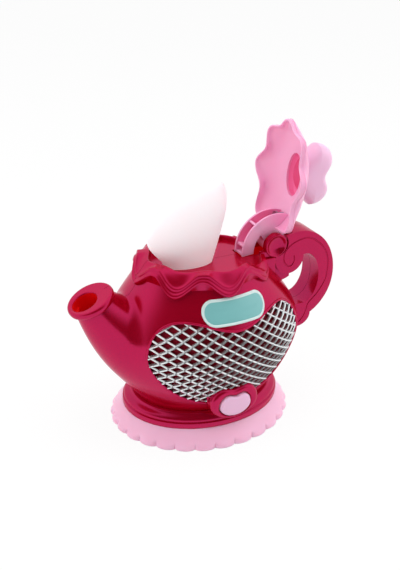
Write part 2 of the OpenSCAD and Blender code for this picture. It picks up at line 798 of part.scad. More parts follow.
// The knob's heart, its point sunk below the lid so that it stands on a broad foot
module knob_outline(g = 0) {
    sunk = 5;
    offset(delta = g) translate([0, -sunk]) polygon(heart_2d(knob_w, knob_h + sunk, 4, 1.5));
}

// The hollow heart on the lid
module lid_knob() {
    skin_t = 1.6;
    edge = 2;
    color(lilac) opened() moulded() translate([knob_x, 0, lid_top]) difference() {
        intersection() {
            union() {
                stand(-knob_t/2 + edge, knob_t/2 - edge) knob_outline();
                stand(-knob_t/2, knob_t/2) knob_outline(-edge);
                linear_extrude(5)
                    polygon(oval_2d(0, 0, knob_hole_l/2 + skin_t, knob_hole_w/2 + skin_t, 32));
            }
            translate([-many/2, -many/2, 0]) cube(many);
        }
        stand(-knob_t/2 + skin_t, knob_t/2 - skin_t) knob_outline(-skin_t - edge);
        translate([0, 0, -1]) linear_extrude(5) polygon(oval_2d(0, 0, knob_hole_l/2, knob_hole_w/2, 32));
    }
}

// Plume

function plume_ring(u) =
    let (k = sqrt(max(0.0004, 1 - pow(u, 3))),
         w = (plume_l/2 + 12*sin(120*u))*k,
         t = (plume_t/2 + 1.5*sin(120*u))*k,
         c = -plume_x - 5*sin(180*u) + 22*pow(u, 4))
    oval(c, w, t, deck_z + plume_h*u, plume_steps);
module steam_plume() {
    foot = plume_l/2;
    flange = 2;
    color(frost) loft(concat(
        [oval(-plume_x, foot + flange, plume_t/2 + flange, retainer_z + seat_gap, plume_steps),
         oval(-plume_x, foot + flange, plume_t/2 + flange, deck_z - wall - seat_gap, plume_steps),
         oval(-plume_x, foot, plume_t/2, deck_z - wall - seat_gap/2, plume_steps)],
        [for (i = [0:12]) plume_ring(sin(90*i/12))]));
}

module plume_retainer() {
    color(crimson) difference() {
        union() {
            translate([0, 0, retainer_z - 2]) linear_extrude(2)
                polygon(oval_2d(-plume_x, 0, plume_l/2 + 5, plume_t/2 + 5));
            for (s = [-1, 1])
                translate([-plume_x, s*retainer_screw_y, retainer_z - 2]) cylinder(r = boss_r, h = 2);
        }
        plume_oval(-1, 0, many);
        for (s = [-1, 1])
            translate([-plume_x, s*retainer_screw_y, 0]) cylinder(r = pilot_r, h = many);
    }
}

module retainer_screws() {
    color(steel) for (s = [-1, 1])
        translate([-plume_x, s*retainer_screw_y, retainer_z - 2]) screw(5.5);
}

// Front

module lattice_2d() {
    count = ceil(2*grille_w/diamond_w) + 10;
    lean = atan2(diamond_h, diamond_w);
    for (s = [-1, 1], i = [-count:count])
        translate([i*diamond_w, (grille_z0 + grille_z1)/2]) rotate(s*lean)
            square([many*2, bar_w], center = true);
}

module grille() {
    edge = 1.5;
    color(silver) moulded() difference() {
        intersection() {
            belly_layer(grille_inset, grille_inset + grille_t, grille_z0 - 4, grille_z1 + 4);
            stand(-many, -belly_d/6) union() {
                intersection() {
                    lattice_2d();
                    grille_outline(-2*seat_gap);
                }
                difference() {
                    grille_outline(-2*seat_gap);
                    grille_outline(-edge);
                }
            }
        }
        stand(-many, -bezel_back + 1) bezel_outline(2*seat_gap);
    }
}

module grille_backing() {
    lap = 3;
    seat = 4*seat_gap;
    sheet = 1.4;
    color("#5A0A1C") moulded() difference() {
        union() {
            intersection() {
                belly_layer(wall + seat, wall + seat + sheet, grille_z0 - 4, grille_z1 + lap + 1);
                stand(-many, -belly_d/7) grille_outline(lap);
            }
            intersection() {
                belly(wall + seat + sheet/2, body_z0, deck_z, front_steps, front_rows);
                translate([0, -speaker_y, speaker_z]) rotate([90, 0, 0]) difference() {
                    cylinder(r = speaker_r, h = many, $fn = 48);
                    translate([0, 0, -1]) cylinder(r = speaker_r - 5.5, h = many, $fn = 48);
                }
            }
        }
        stand(-many, -bezel_back + 1) bezel_outline(2*seat_gap);
        stand(-many, -belly_d/10) translate([0, board_z0 - 2])
            square([board_l + 4, 2*board_h - 14], center = true);
        for (a = speaker_screw_deg)
            translate([speaker_hole_r*cos(a), 0, speaker_z + speaker_hole_r*sin(a)]) rotate([90, 0, 0])
                cylinder(r = pilot_r, h = speaker_y + 4.5, $fn = hole_fn);
    }
}

module plaque() {
    proud = 0.7;
    r = plaque_h/2;
    color(teal) moulded() intersection() {
        difference() {
            belly(-proud);
            belly(-seat_gap);
        }
        stand(-many, 0) translate([0, plaque_z]) union() {
            square([plaque_l - 2*r, plaque_h], center = true);
            for (s = [-1, 1])
                translate([s*(plaque_l/2 - r), 0]) circle(r = r, $fn = 32);
        }
    }
}

module button_bezel() {
    color(crimson) difference() {
        stand(-bezel_y, -bezel_back) bezel_outline();
        stand(-bezel_y - 1, -bezel_back + 1) button_outline(button_gap);
        stand(-bezel_y + bezel_lip, -bezel_back + 1) button_outline(button_flange + button_gap);
    }
}

module heart_button() {
    color(lilac) union() {
        stand(-bezel_y - button_proud + 0.8, -button_flange_y) button_outline();
        stand(-bezel_y - button_proud, -button_flange_y) button_outline(-0.8);
        stand(-button_flange_y, -button_flange_y + button_flange_t) button_outline(button_flange);
        translate([0, -button_flange_y + button_flange_t - 0.1, board_screw_z]) rotate([-90, 0, 0])
            cylinder(r = stem_r, h = button_flange_y - button_flange_t - stem_end_y + 0.1);
    }
}

// Electrics

// Points of the spring's axis, flat at both ends
function spring_at(i, n) =
    let (f = 360*spring_turns*i/n, in = spring_wire + 0.1,
         y = mix(spring_y0 + in, spring_y1 - in, i/n))
    [spring_mid_r*cos(f), -y, board_screw_z + spring_mid_r*sin(f)];
function spring_ring(i, n) =
    let (p = spring_at(i, n), f = 360*spring_turns*i/n, out = [cos(f), 0, sin(f)])
    [for (k = [0:5]) p + spring_wire*(cos(60*k)*out + sin(60*k)*[0, 1, 0])];
spring_rings = spring_turns*8;
spring_points = [for (i = [0:spring_rings]) spring_at(i, spring_rings)];
spring_gap = min([for (i = [0:spring_rings - 6], j = [i + 6:spring_rings])
    norm(spring_points[i] - spring_points[j])]) - 2*spring_wire;
echo(spring_gap = spring_gap);

module button_spring() {
    color(steel) loft([for (i = [spring_rings:-1:0]) spring_ring(i, spring_rings)]);
}

module press_switch() {
    color("#303236") union() {
        translate([-switch_w/2, -board_y - board_t - switch_h, board_screw_z - switch_w/2])
            cube([switch_w, switch_h, switch_w]);
        translate([0, -board_y - board_t - switch_h + 0.1, board_screw_z]) rotate([90, 0, 0])
            cylinder(r = 1.7, h = switch_stub + 0.1);
    }
}

module circuit_board() {
    color("#1E6B3A") difference() {
        translate([-board_l/2, -board_y - board_t, board_z0]) cube([board_l, board_t, board_h]);
        for (s = [-1, 1])
            translate([s*board_screw_x, 0, board_screw_z]) rotate([90, 0, 0])
                cylinder(r = pilot_r, h = many);
    }
}

module board_screws() {
    color(steel) for (s = [-1, 1])
        translate([s*board_screw_x, -board_y - board_t, board_screw_z]) rotate([-90, 0, 0]) screw(5);
}

// Lamps standing on the board's upper edge
module lamps() {
    lamp_r = 2.5;
    color("#F6E7C8") for (s = [-1, 1])
        translate([s*8, -board_y - 0.8, board_z0 + board_h]) union() {
            cylinder(r = lamp_r, h = 4.5);
            translate([0, 0, 4.5]) sphere(r = lamp_r);
        }
}

module speaker_frame() {
    color("#3A3C40") translate([0, -speaker_y, speaker_z]) rotate([-90, 0, 0]) difference() {
        rotate_extrude()
            polygon([[0, speaker_h - 2], [cone_r, speaker_h - 2], [speaker_r - 6.5, 0.8], [speaker_r - 6, 0],
                     [speaker_r, 0], [speaker_r, speaker_flange], [speaker_r - 5.5, speaker_flange],
                     [cone_r + 1, speaker_h], [0, speaker_h]]);
        for (a = speaker_screw_deg)
            translate([speaker_hole_r*cos(a), -speaker_hole_r*sin(a), -1]) cylinder(r = pilot_r, h = 4);
    }
}

module speaker_magnet() {
    color(steel) translate([0, -speaker_y + speaker_h, speaker_z]) rotate([-90, 0, 0])
        cylinder(r = magnet_r, h = magnet_h);
}

module speaker_screws() {
    color(steel) for (a = speaker_screw_deg)
        translate([speaker_hole_r*cos(a), -speaker_y + speaker_flange, speaker_z + speaker_hole_r*sin(a)])
            rotate([90, 0, 0]) screw(5);
}

module battery_box() {
    color("#2C2C30") difference() {
        union() {
            translate([-box_l/2 - box_wall, -box_w/2 - box_wall, floor_t])
                cube([box_l + 2*box_wall, box_w + 2*box_wall, box_h + box_wall]);
            translate([door_screw_x, 0, floor_t]) cylinder(r = boss_r, h = door_screw_l + 2);
        }
        translate([-box_l/2, -box_w/2, 0]) cube([box_l, box_w, box_h + floor_t]);
        translate([door_screw_x, 0, 0]) cylinder(r = pilot_r, h = door_screw_l + 2);
    }
}

module batteries() {
    color("#7C8A92") for (i = [0:cells - 1])
        translate([-cell_l/2, (i - (cells - 1)/2)*cell_pitch, cell_z]) rotate([0, 90, 0]) union() {
            cylinder(r = cell_d/2, h = cell_l - 1.2);
            translate([0, 0, cell_l - 1.2]) cylinder(r = 2.7, h = 1.2);
        }
}

module battery_contacts() {
    contact_t = 1.6;
    color(silver) for (i = [0:cells - 1], s = [-1, 1])
        translate([s > 0 ? box_l/2 - contact_t : -box_l/2, (i - (cells - 1)/2)*cell_pitch, cell_z])
            translate([0, -4.5, -4.5]) cube([contact_t, 9, 9]);
}

module battery_door() {
    color(blush) difference() {
        translate([door_x0, -door_w/2, 0]) cube([door_x1 - door_x0, door_w, floor_t]);
        translate([door_screw_x, 0, -1]) cylinder(r = pilot_r, h = many);
        translate([door_screw_x, 0, -1]) cylinder(r = head_hole_r, h = 1 + door_seat_z);
    }
}

module door_screw() {
    color(steel) translate([door_screw_x, 0, door_seat_z]) screw(door_screw_l, door_seat_z - 0.2);
}

module base_screws() {
    color(steel) for (p = base_screw_at)
        translate([p[0], p[1], base_head_z]) screw(base_screw_l);
}

module plinth_screws() {
    color(steel) for (p = plinth_screw_at)
        translate([p[0], p[1], body_z0 - plinth_flange]) screw(plinth_screw_l);
}

module shell_screws() {
    color(steel) for (p = shell_screw_at)
        translate([p[0], shell_head_y, p[1]]) rotate([90, 0, 0]) screw(shell_screw_l);
}

module handle_screws() {
    color(steel) for (p = handle_screw_at)
        translate([p[0], handle_head_y, p[1]]) rotate([90, 0, 0]) screw(handle_screw_l);
}

saucer();
plinth();
body_front();
body_back();
handle_front();
handle_back();
hinge_ear_front();
hinge_ear_back();
hinge_pin();
lid();
lid_arm();
lid_knob();
arm_screw();
steam_plume();
plume_retainer();
retainer_screws();
grille();
grille_backing();
plaque();
button_bezel();
heart_button();
button_spring();
press_switch();
circuit_board();
board_screws();
lamps();
speaker_frame();
speaker_magnet();
speaker_screws();
battery_box();
batteries();
battery_contacts();
battery_door();
door_screw();
base_screws();
plinth_screws();
shell_screws();
handle_screws();
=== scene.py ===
"""Dresses the toy teapot: glossy mouldings, a metal lattice and a soft plume, on white."""
import json
import math

import bmesh
import bpy
import numpy as np
from mathutils import Matrix, Vector


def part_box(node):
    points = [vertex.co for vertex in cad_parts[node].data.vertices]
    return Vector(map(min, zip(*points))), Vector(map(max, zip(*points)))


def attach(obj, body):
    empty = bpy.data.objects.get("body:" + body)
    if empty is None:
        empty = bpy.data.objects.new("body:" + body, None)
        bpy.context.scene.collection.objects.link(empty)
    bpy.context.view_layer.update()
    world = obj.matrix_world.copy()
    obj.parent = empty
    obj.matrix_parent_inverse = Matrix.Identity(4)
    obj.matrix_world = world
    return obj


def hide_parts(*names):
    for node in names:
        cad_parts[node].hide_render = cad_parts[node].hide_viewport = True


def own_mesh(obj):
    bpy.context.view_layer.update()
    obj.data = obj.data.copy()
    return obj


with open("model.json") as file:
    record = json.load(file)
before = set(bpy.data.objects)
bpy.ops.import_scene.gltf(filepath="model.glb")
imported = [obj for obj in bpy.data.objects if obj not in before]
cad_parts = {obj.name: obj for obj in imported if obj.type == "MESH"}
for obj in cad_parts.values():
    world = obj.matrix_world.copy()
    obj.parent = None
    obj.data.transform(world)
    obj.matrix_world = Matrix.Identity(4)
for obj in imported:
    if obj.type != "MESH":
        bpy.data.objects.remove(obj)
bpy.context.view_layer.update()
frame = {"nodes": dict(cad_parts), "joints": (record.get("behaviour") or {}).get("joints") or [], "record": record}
MM = 0.001


def node_box(node):
    """Lowest and highest corner of a solid, in millimetres."""
    low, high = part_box(node)
    return np.array(low) / MM, np.array(high) / MM


# Sizes in millimetres, in the frame of the solids

JOINTS = {j["name"]: j for j in frame["joints"]}
HINGE = np.array(JOINTS["lid_hinge"]["pos_m"]) / MM
OPEN = math.radians(JOINTS["lid_hinge"]["range_deg"][1])
Y_AXIS = np.array([0.0, 1.0, 0.0])
# How far the tools that cut pieces reach, well past each piece
FAR = 200.0
# Room round what turns, and round what sits
SWING, SEAT = 1.2, 0.1

# Belly
body_low, body_high = node_box("body_back")
BELLY_A, BELLY_B = body_high[0], body_high[1]
FOOT_Z, BELLY_Z, DECK_Z = body_low[2], 68.0, 116.0
FOOT_A, FOOT_B = 49.0, 39.5
DECK_A, DECK_B, DECK_SHIFT, DECK_SHARE = 43.0, 37.0, 3.3, 0.3
CROWN_POWER, SKIRT_POWER = 1.2, 1.5
WALL = 2.2
SEAM, SEAM_DEPTH, SEAM_FIT = 0.25, 1.2, 0.02
OVERRUN, VOXEL = 6.0, 1.3

# Base
SAUCER_A, SAUCER_B, SAUCER_Z = node_box("saucer")[1]
PLINTH_A, PLINTH_B = node_box("plinth")[1][:2]
SCALLOPS, SCALLOP_STEPS, SCALLOP_DEPTH, SCALLOP_ARC = 28, 20, 3.0, 0.97
SAUCER_T, SAUCER_WALL, SAUCER_FLOOR = 2.4, 5.0, 2.0
DOOR_FIT, SCREW_R, SCREW_HOLE_R = 0.15, 2.5, 2.8

# Spout: its curve in XZ, and the lean, rim and hole of its mouth
SPOUT = np.array([[-30.0, 60.0], [-57.0, 66.0], [-81.5, 102.2]])
SPOUT_R, SPOUT_TAPER, SPOUT_BLEND, SPOUT_REACH = 12.5, 26.5, 5.0, 1.08
LIP_R, LIP_SEAT = 16.0, 2.0
POUR_R, POUR_SHIFT, POUR_CUT, POUR_ROOM = 8.8, 3.8, 4.5, 0.5
HOLE_DEPTH, HOLE_EDGE, HOLE_SLACK = 16.0, 1.2, 0.7
MOUTH_LEAN = math.radians(25)
# Middle of the mouth, its way out, and the way from its tip to its heel
MOUTH = np.array([SPOUT[2][0], 0, SPOUT[2][1]])
MOUTH_OUT = np.array([-math.sin(MOUTH_LEAN), 0, math.cos(MOUTH_LEAN)])
MOUTH_HEEL = np.array([math.cos(MOUTH_LEAN), 0, math.sin(MOUTH_LEAN)])

# Frill round the deck
LOBES, WAVY_STEPS = 8, 320
HEM_A, HEM_B, HEM_WAVE, HEM_DROP, HEM_LOW = 47.0, 41.3, 1.8, 4.8, 2.2
BRIM_A, BRIM_B, BRIM_Z, BRIM_WAVE, BRIM_DROP = 39.0, 32.5, 123.6, 1.0, 0.5
RIDGE, RIDGE_LOW, COLLAR_H = 6.0, 0.3, 5.0
COLLAR_END, COLLAR_FALL, COLLAR_LOW = math.radians(54), math.radians(14), 119.2

# Lid's arm, the slot it swings in, and the hinge
ARM_R, ARM_DEPTH, ARM_W = 25.4, 9.0, 11.0
ARM_OFF = np.array([4.4, 0.9])
ARM_FROM, WEB_TO, TAIL_DEG = 165.0, 230.0, 280.0
ARM_WALL, ARM_FLOOR, BED_INSET, ARM_ROUND, RIB_ROUND = 1.6, 2.2, 0.4, 0.35, 0.3
# Where each rib starts, in degrees, and how far it stays below the walls
RIBS, RIB_DEG = ((221.5, 0.6), (262.0, 0.9), (TAIL_DEG - 4, 0.6)), 3.6
TAIL_WAY = np.array([math.cos(math.radians(TAIL_DEG)), math.sin(math.radians(TAIL_DEG))])
TAIL = ARM_OFF + ARM_R * TAIL_WAY
SLOT_R, SLOT_W, SLOT_SLACK = np.linalg.norm(TAIL) + SWING, ARM_W + 2 * SWING, 0.1
ROOT_X, ROOT_BACK = HINGE[0] + TAIL[0] + SWING, 14.0
POCKET_T = 1.0
EAR_R, EAR_T, EAR_X = 8.4, 4.8, HINGE[0] - 1.6
HUB_R = EAR_R - 1
TAB_X, TAB_L, TAB_Z, TAB_H = HINGE[0] - 2, 16.0, 114.0, 13.0
TAB_HALF, TAB_ROUND, STRAP_ROUND = SLOT_W / 2 + EAR_T + 1.5, 1.0, 0.5

# Lid and knob, in the closed lid's place
LID_Z, LID_TIP, LID_END, LID_B = 120.2, 35.5, 40.0, 29.0
LID_WAVE, LID_DROP, LID_LIFT = 3.2, 0.6, 1.6
LID_BAND, LID_RISE, LID_CX, LID_T = 4.5, 10.0, 3.0, 2.0
# Fading of wave and drop, the crown's share of the lift, and the end's reach before it is cut flat
LID_FADE, DROP_FADE, CROWN_LIFT, END_REACH = 0.4, 0.6, 0.6, 1.2
LID_TOP = LID_Z + LID_BAND + LID_RISE
PAD_Z, PAD_END = LID_Z + 6.8, LID_END - 4
KNOB_X, KNOB_W, KNOB_H, KNOB_T = 4.2, 43.0, 25.0, 20.0
KNOB_NOTCH, KNOB_POWER, KNOB_SUNK, KNOB_WALL = 4.0, 1.5, 5.0, 1.6
KNOB_HOLE_A, KNOB_HOLE_B = 15.0, 8.2
KNOB_MIDDLE, KNOB_SOFT = 0.45 * KNOB_H, 0.45

# Handle, in XZ: reach of its ovals to the side, up and down, and the points of its groove
HANDLE_T = node_box("handle_back")[1][1]
HANDLE, HANDLE_EGG = np.array([68.0, 93.0]), (31.0, 36.4, 33.0)
FINGER, FINGER_EGG = HANDLE + [6.3, -2.2], (12.4, 20.7, 18.2)
SCROLL, SCROLL_R = HANDLE + [-7, 17], 11.3
TOE, TOE_A, TOE_B = HANDLE + [4, -30], 10.3, 9.0
HANDLE_ROUND, GROOVE_R = 2.4, 0.55
GROOVE = [
    [64.3, 111.9], [64.7, 107.9], [62.6, 104.4], [59.0, 105.1], [56.2, 109.5], [56.4, 114.5],
    [59.0, 118.4], [64.6, 121.9], [72.8, 123.7], [79.0, 122.1], [85.7, 117.1], [90.7, 111.1],
    [93.4, 103.7], [93.8, 95.0], [92.3, 86.7], [86.8, 78.2], [80.0, 71.3], [78.6, 66.7],
    [76.6, 61.3], [73.2, 57.2],
]

# Plume: its foot, and height and place of its two edges
PLUME_A, PLUME_B, PLUME_X, PLUME_FIT = 17.5, 9.0, 12.5, 0.3
PLUME_SWELL, PLUME_TURN, PLUME_TIP = 1.5, math.radians(120), 0.0006
PLUME_RIGHT = [
    (116, 5.0), (123.4, 7.2), (131, 9.4), (139.3, 11.3), (147, 13.3), (153, 14.2), (160, 13.9),
    (165, 12.9), (168, 11.7), (169.6, 10.7), (170.4, 9.6),
]
PLUME_LEFT = [
    (116, -30.0), (120, -31.8), (126.3, -37.4), (132, -41.4), (137.8, -42.6), (143, -41.5),
    (148.1, -38.8), (155.1, -32.4), (160, -27.2), (164, -21.6), (166.5, -16), (168.3, -9),
    (169.4, -2), (170.1, 4.5), (170.4, 9.2),
]

# Grille
GRILLE_W, GRILLE_Z0, GRILLE_Z1, GRILLE_NOTCH = 55.8, 31.0, 94.5, 7.3
GRILLE_POWER, GRILLE_LOBE, GRILLE_FULL, GRILLE_FIT = 2.6, 0.61, 0.5, 0.2
RIM_R, RIM_OUT, RIM_INSET = 0.9, 0.5, 0.15
DIAMOND_W, DIAMOND_H, STRAND, STRAND_DEEP = 9.0, 6.3, 0.8, 1.4
STRAND_INSET, STRAND_WEAVE, STRAND_STEPS, TIP_SHARP = 0.9, 0.55, 330, 0.985

# Button and bezel
BEZEL = dict(w=36.0, h=27.0, notch=4.0, power=2.2, z0=20.0)
BEZEL_FACE = dict(w=35.6, h=24.0, notch=1.4, power=2.0, z0=20.2, lobe=0.45, side=0.5, full=0.8)
BUTTON = dict(w=23.0, h=15.6, notch=1.3, power=2.1, z0=23.2, lobe=0.46, side=0.5, full=0.8)
BEZEL_Y = 51.0
PRESS_ROOM, PRESS_DEPTH = 2.6, 24.0
STEM_R, STEM_IN, STEM_UP = 2.2, 8.0, 0.58


# Shapes


def mix(a, b, t):
    return a + (b - a) * t


def around(n):
    """n angles of a full turn."""
    return np.linspace(0, 2 * np.pi, n, endpoint=False)


def smooth_curve(points, steps=6):
    """A Catmull-Rom curve through the points, open at both ends."""
    p = np.asarray(points, float)
    p = np.vstack([2 * p[0] - p[1], p, 2 * p[-1] - p[-2]])
    t = np.linspace(0, 1, steps, endpoint=False)[:, None]
    curve = [
        0.5 * (2 * b + (c - a) * t + (2 * a - 5 * b + 4 * c - d) * t**2 + (3 * b - a - 3 * c + d) * t**3)
        for a, b, c, d in zip(p, p[1:], p[2:], p[3:])
    ]
    return np.vstack(curve + [p[-2:-1]])


def oval(cx, a, b, z, n=240):
    f = around(n)
    return np.column_stack([cx + a * np.cos(f), b * np.sin(f), np.full(n, float(z))])


def egg(centre, rx, up, down, n=160):
    """An oval in XZ that reaches up and down by different lengths."""
    f = around(n)
    rise = np.where(np.sin(f) > 0, up, down) * np.sin(f)
    return np.column_stack([centre[0] + rx * np.cos(f), centre[1] + rise])


def heart(w, h, notch, power, lobe=0.55, side=0.6, full=0.0, steps=80):
    """A soft heart w wide and h high in XZ, its point at the origin; full rounds its sides."""
    half, lobe_x, side_z = w / 2, lobe * w / 2, side * h
    x = -half * np.cos(np.linspace(0, np.pi, steps + 1))
    u = (np.abs(x) / half) ** power
    low = side_z * mix(u, 1 - np.sqrt(np.clip(1 - u, 0, 1)), full)
    bow = ((np.abs(x) - lobe_x) / (half - lobe_x)) ** 2
    outer = side_z + (h - side_z) * np.sqrt(np.clip(1 - bow, 0, 1))
    inner = h - notch * (1 + np.cos(np.pi * x / lobe_x)) / 2
    top = np.where(np.abs(x) > lobe_x, outer, inner)
    return np.vstack([np.column_stack([x, low]), np.column_stack([x, top])[-2:0:-1]])


def grown(outline, g):
    """The closed outline moved outwards by g along its normals."""
    d = np.roll(outline, -1, 0) - np.roll(outline, 1, 0)
    n = np.column_stack([d[:, 1], -d[:, 0]])
    return outline + g * n / np.maximum(np.linalg.norm(n, axis=1), 1e-9)[:, None]


def stood(outline, y):
    """A flat outline stood up in the plane at y."""
    return np.column_stack([outline[:, 0], np.full(len(outline), float(y)), outline[:, 1]])


def heart_rows(rows, w, h, notch, power, z0, lobe=0.55, side=0.6, full=0.0):
    """Rings of one heart at depth y, each grown by g, or drawn in towards its middle."""
    outline = heart(w, h, notch, power, lobe, side, full) + [0, z0]
    middle = np.array([0, z0 + 0.55 * h])
    return [stood(grown(outline, g) if g >= 0 else mix(outline, middle, -2 * g / w), y) for g, y in rows]


def grille_heart(g=0.0):
    """The grille's outline, grown by g."""
    height = GRILLE_Z1 - GRILLE_Z0
    outline = heart(2 * GRILLE_W, height, GRILLE_NOTCH, GRILLE_POWER, GRILLE_LOBE, full=GRILLE_FULL)
    return grown(outline + [0, GRILLE_Z0], g)


def arc(r, start, stop, n=48, off=(0, 0)):
    """Points in XZ at radius r round the hinge, or round a place off it."""
    f = np.radians(np.linspace(start, stop, n))
    return np.column_stack([HINGE[0] + off[0] + r * np.cos(f), HINGE[2] + off[1] + r * np.sin(f)])


def turning_circle(r, right, top=FAR, left=-FAR):
    """A circle in XZ round the hinge, held between left and right and below top."""
    outline = arc(r, 0, 360, 96)[:-1]
    return np.column_stack([np.clip(outline[:, 0], left, right), np.minimum(outline[:, 1], top)])


def skin(rows, wrap=False):
    """Points and faces through closed rings; wrap joins the last ring to the first."""
    rows = np.asarray(rows, float)
    m, n = rows.shape[:2]
    i = np.arange(n)
    k = (i + 1) % n
    faces = []
    for row in range(m if wrap else m - 1):
        after = (row + 1) % m
        faces += np.column_stack([row * n + i, row * n + k, after * n + k, after * n + i]).tolist()
    if not wrap:
        faces += [list(range(n - 1, -1, -1)), list(range((m - 1) * n, m * n))]
    return rows.reshape(-1, 3), faces


def opened(points):
    """Turns points of the closed lid to where the lid stands open."""
    p = np.array(points, float)
    dx, dz = p[..., 0] - HINGE[0], p[..., 2] - HINGE[2]
    p[..., 0] = HINGE[0] + dx * math.cos(OPEN) + dz * math.sin(OPEN)
    p[..., 2] = HINGE[2] - dx * math.sin(OPEN) + dz * math.cos(OPEN)
    return p


# Meshes


def new_object(name, data):
    """A new object in the scene."""
    obj = bpy.data.objects.new(name, data)
    bpy.context.scene.collection.objects.link(obj)
    return obj


def make(name, points, faces):
    """An object from points in millimetres and faces."""
    mesh = bpy.data.meshes.new(name)
    mesh.from_pydata((np.asarray(points, float) * MM).tolist(), [], faces)
    obj = new_object(name, mesh)
    outward(obj)
    return obj


def outward(obj):
    """Turns the object's faces to look outwards."""
    bm = bmesh.new()
    bm.from_mesh(obj.data)
    bmesh.ops.recalc_face_normals(bm, faces=bm.faces)
    bm.to_mesh(obj.data)
    bm.free()


def points_of(obj):
    """The mesh's points in millimetres."""
    co = np.empty(len(obj.data.vertices) * 3)
    obj.data.vertices.foreach_get("co", co)
    return co.reshape(-1, 3) / MM


def place(obj, points):
    """Moves the mesh's points to places in millimetres."""
    obj.data.vertices.foreach_set("co", (points * MM).ravel())
    obj.data.update()


def turned(obj):
    """Turns a piece made in the closed lid's place to where it stands open."""
    place(obj, opened(points_of(obj)))
    return obj


def copy_of(obj):
    return new_object("copy", obj.data.copy())


def settle(obj):
    """Makes the object's modifiers part of its mesh."""
    mesh = bpy.data.meshes.new_from_object(obj.evaluated_get(bpy.context.evaluated_depsgraph_get()))
    old = obj.data
    obj.modifiers.clear()
    obj.data = mesh
    bpy.data.meshes.remove(old)
    return obj


def cut(obj, *tools, operation="DIFFERENCE"):
    """Cuts tools away from an object, or joins or crosses it with them, and uses them up."""
    for tool in tools:
        boolean = obj.modifiers.new("cut", "BOOLEAN")
        boolean.operation = operation
        boolean.solver = "MANIFOLD"
        boolean.object = tool
        settle(obj)
        bpy.data.objects.remove(tool)
    return obj


def bevelled(obj, width, segments=4, angle=40):
    bevel = obj.modifiers.new("bevel", "BEVEL")
    bevel.width = width * MM
    bevel.segments = segments
    bevel.limit_method = "ANGLE"
    bevel.angle_limit = math.radians(angle)
    return settle(obj)


def block(low, high):
    (x0, y0, z0), (x1, y1, z1) = low, high
    ring = [[x0, y0], [x1, y0], [x1, y1], [x0, y1]]
    return make("block", *skin([[[x, y, z] for x, y in ring] for z in (z0, z1)]))


def slab(name, outline, y0, y1):
    """An outline in XZ made thick from y0 to y1."""
    return make(name, *skin([stood(outline, y0), stood(outline, y1)]))


def rod(name, centre, axis, r, h, n=64):
    """A cylinder that starts at centre and runs h along axis."""
    axis = np.array(Vector(axis).normalized())
    u = np.array(Vector(axis).orthogonal().normalized())
    v = np.cross(axis, u)
    f = around(n)[:, None]
    ring = r * (np.cos(f) * u + np.sin(f) * v)
    return make(name, *skin([np.array(centre) + ring, np.array(centre) + h * axis + ring]))


def tube(name, path, r, closed=False, n=12, deep=None):
    """A bar along a path of points: r is half its width and deep, where given, half its depth."""
    p = np.asarray(path, float)
    d = np.roll(p, -1, 0) - np.roll(p, 1, 0) if closed else np.gradient(p, axis=0)
    d /= np.linalg.norm(d, axis=1)[:, None]
    side = np.cross(d, Y_AXIS)
    side /= np.linalg.norm(side, axis=1)[:, None]
    up = np.cross(side, d)
    f = around(n)
    rows = p[:, None] + r * np.cos(f)[None, :, None] * side[:, None]
    rows = rows + (deep or r) * np.sin(f)[None, :, None] * up[:, None]
    return make(name, *skin(rows, wrap=closed))


def joined(name, parts):
    """One object from several."""
    bm = bmesh.new()
    for part in parts:
        bm.from_mesh(part.data)
    mesh = bpy.data.meshes.new(name)
    bm.to_mesh(mesh)
    bm.free()
    for part in parts:
        bpy.data.objects.remove(part)
    return new_object(name, mesh)


def shaded(obj, angle=38):
    """Smooth shading, with sharp edges where faces meet at more than the angle."""
    bm = bmesh.new()
    bm.from_mesh(obj.data)
    for face in bm.faces:
        face.smooth = True
    for edge in bm.edges:
        edge.smooth = len(edge.link_faces) == 2 and edge.calc_face_angle(0) < math.radians(angle)
    bm.to_mesh(obj.data)
    bm.free()


def dress(obj, name, material, body, nodes):
    """Names a finished piece, gives it its material and lets it ride on its body."""
    obj.name = name
    shaded(obj)
    obj.data.materials.clear()
    obj.data.materials.append(MATERIALS[material])
    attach(obj, body)
    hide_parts(*nodes)
    return obj


# Materials

DRIFT_SCALE, DRIFT_DETAIL = 28.0, 4.0
GRAIN_SCALE, GRAIN_DETAIL, GRAIN_STRENGTH, GRAIN_DEPTH = 900.0, 2.0, 0.02, 0.0002
GLOSS_SPREAD = 0.2
GLOW_RADIUS = (0.004, 0.002, 0.002)


def links(tree, *pairs):
    for a, b in pairs:
        tree.links.new(a, b)


def fill(node, values):
    """Sets inputs of a node by their names."""
    for name, value in values.items():
        node.inputs[name].default_value = value


def new_node(tree, kind, values=None):
    """A new shader node with some of its inputs set."""
    node = tree.nodes.new("ShaderNode" + kind)
    fill(node, values or {})
    return node


def new_material(name):
    """A new material, its node tree and its surface."""
    material = bpy.data.materials.new(name)
    material.use_nodes = True
    tree = material.node_tree
    return material, tree, tree.nodes["Principled BSDF"]


def linear(colour):
    """A colour given as it looks on screen, from 0 to 255, in linear light."""
    return [((c / 255 + 0.055) / 1.055) ** 2.4 if c > 10 else c / 255 / 12.92 for c in colour]


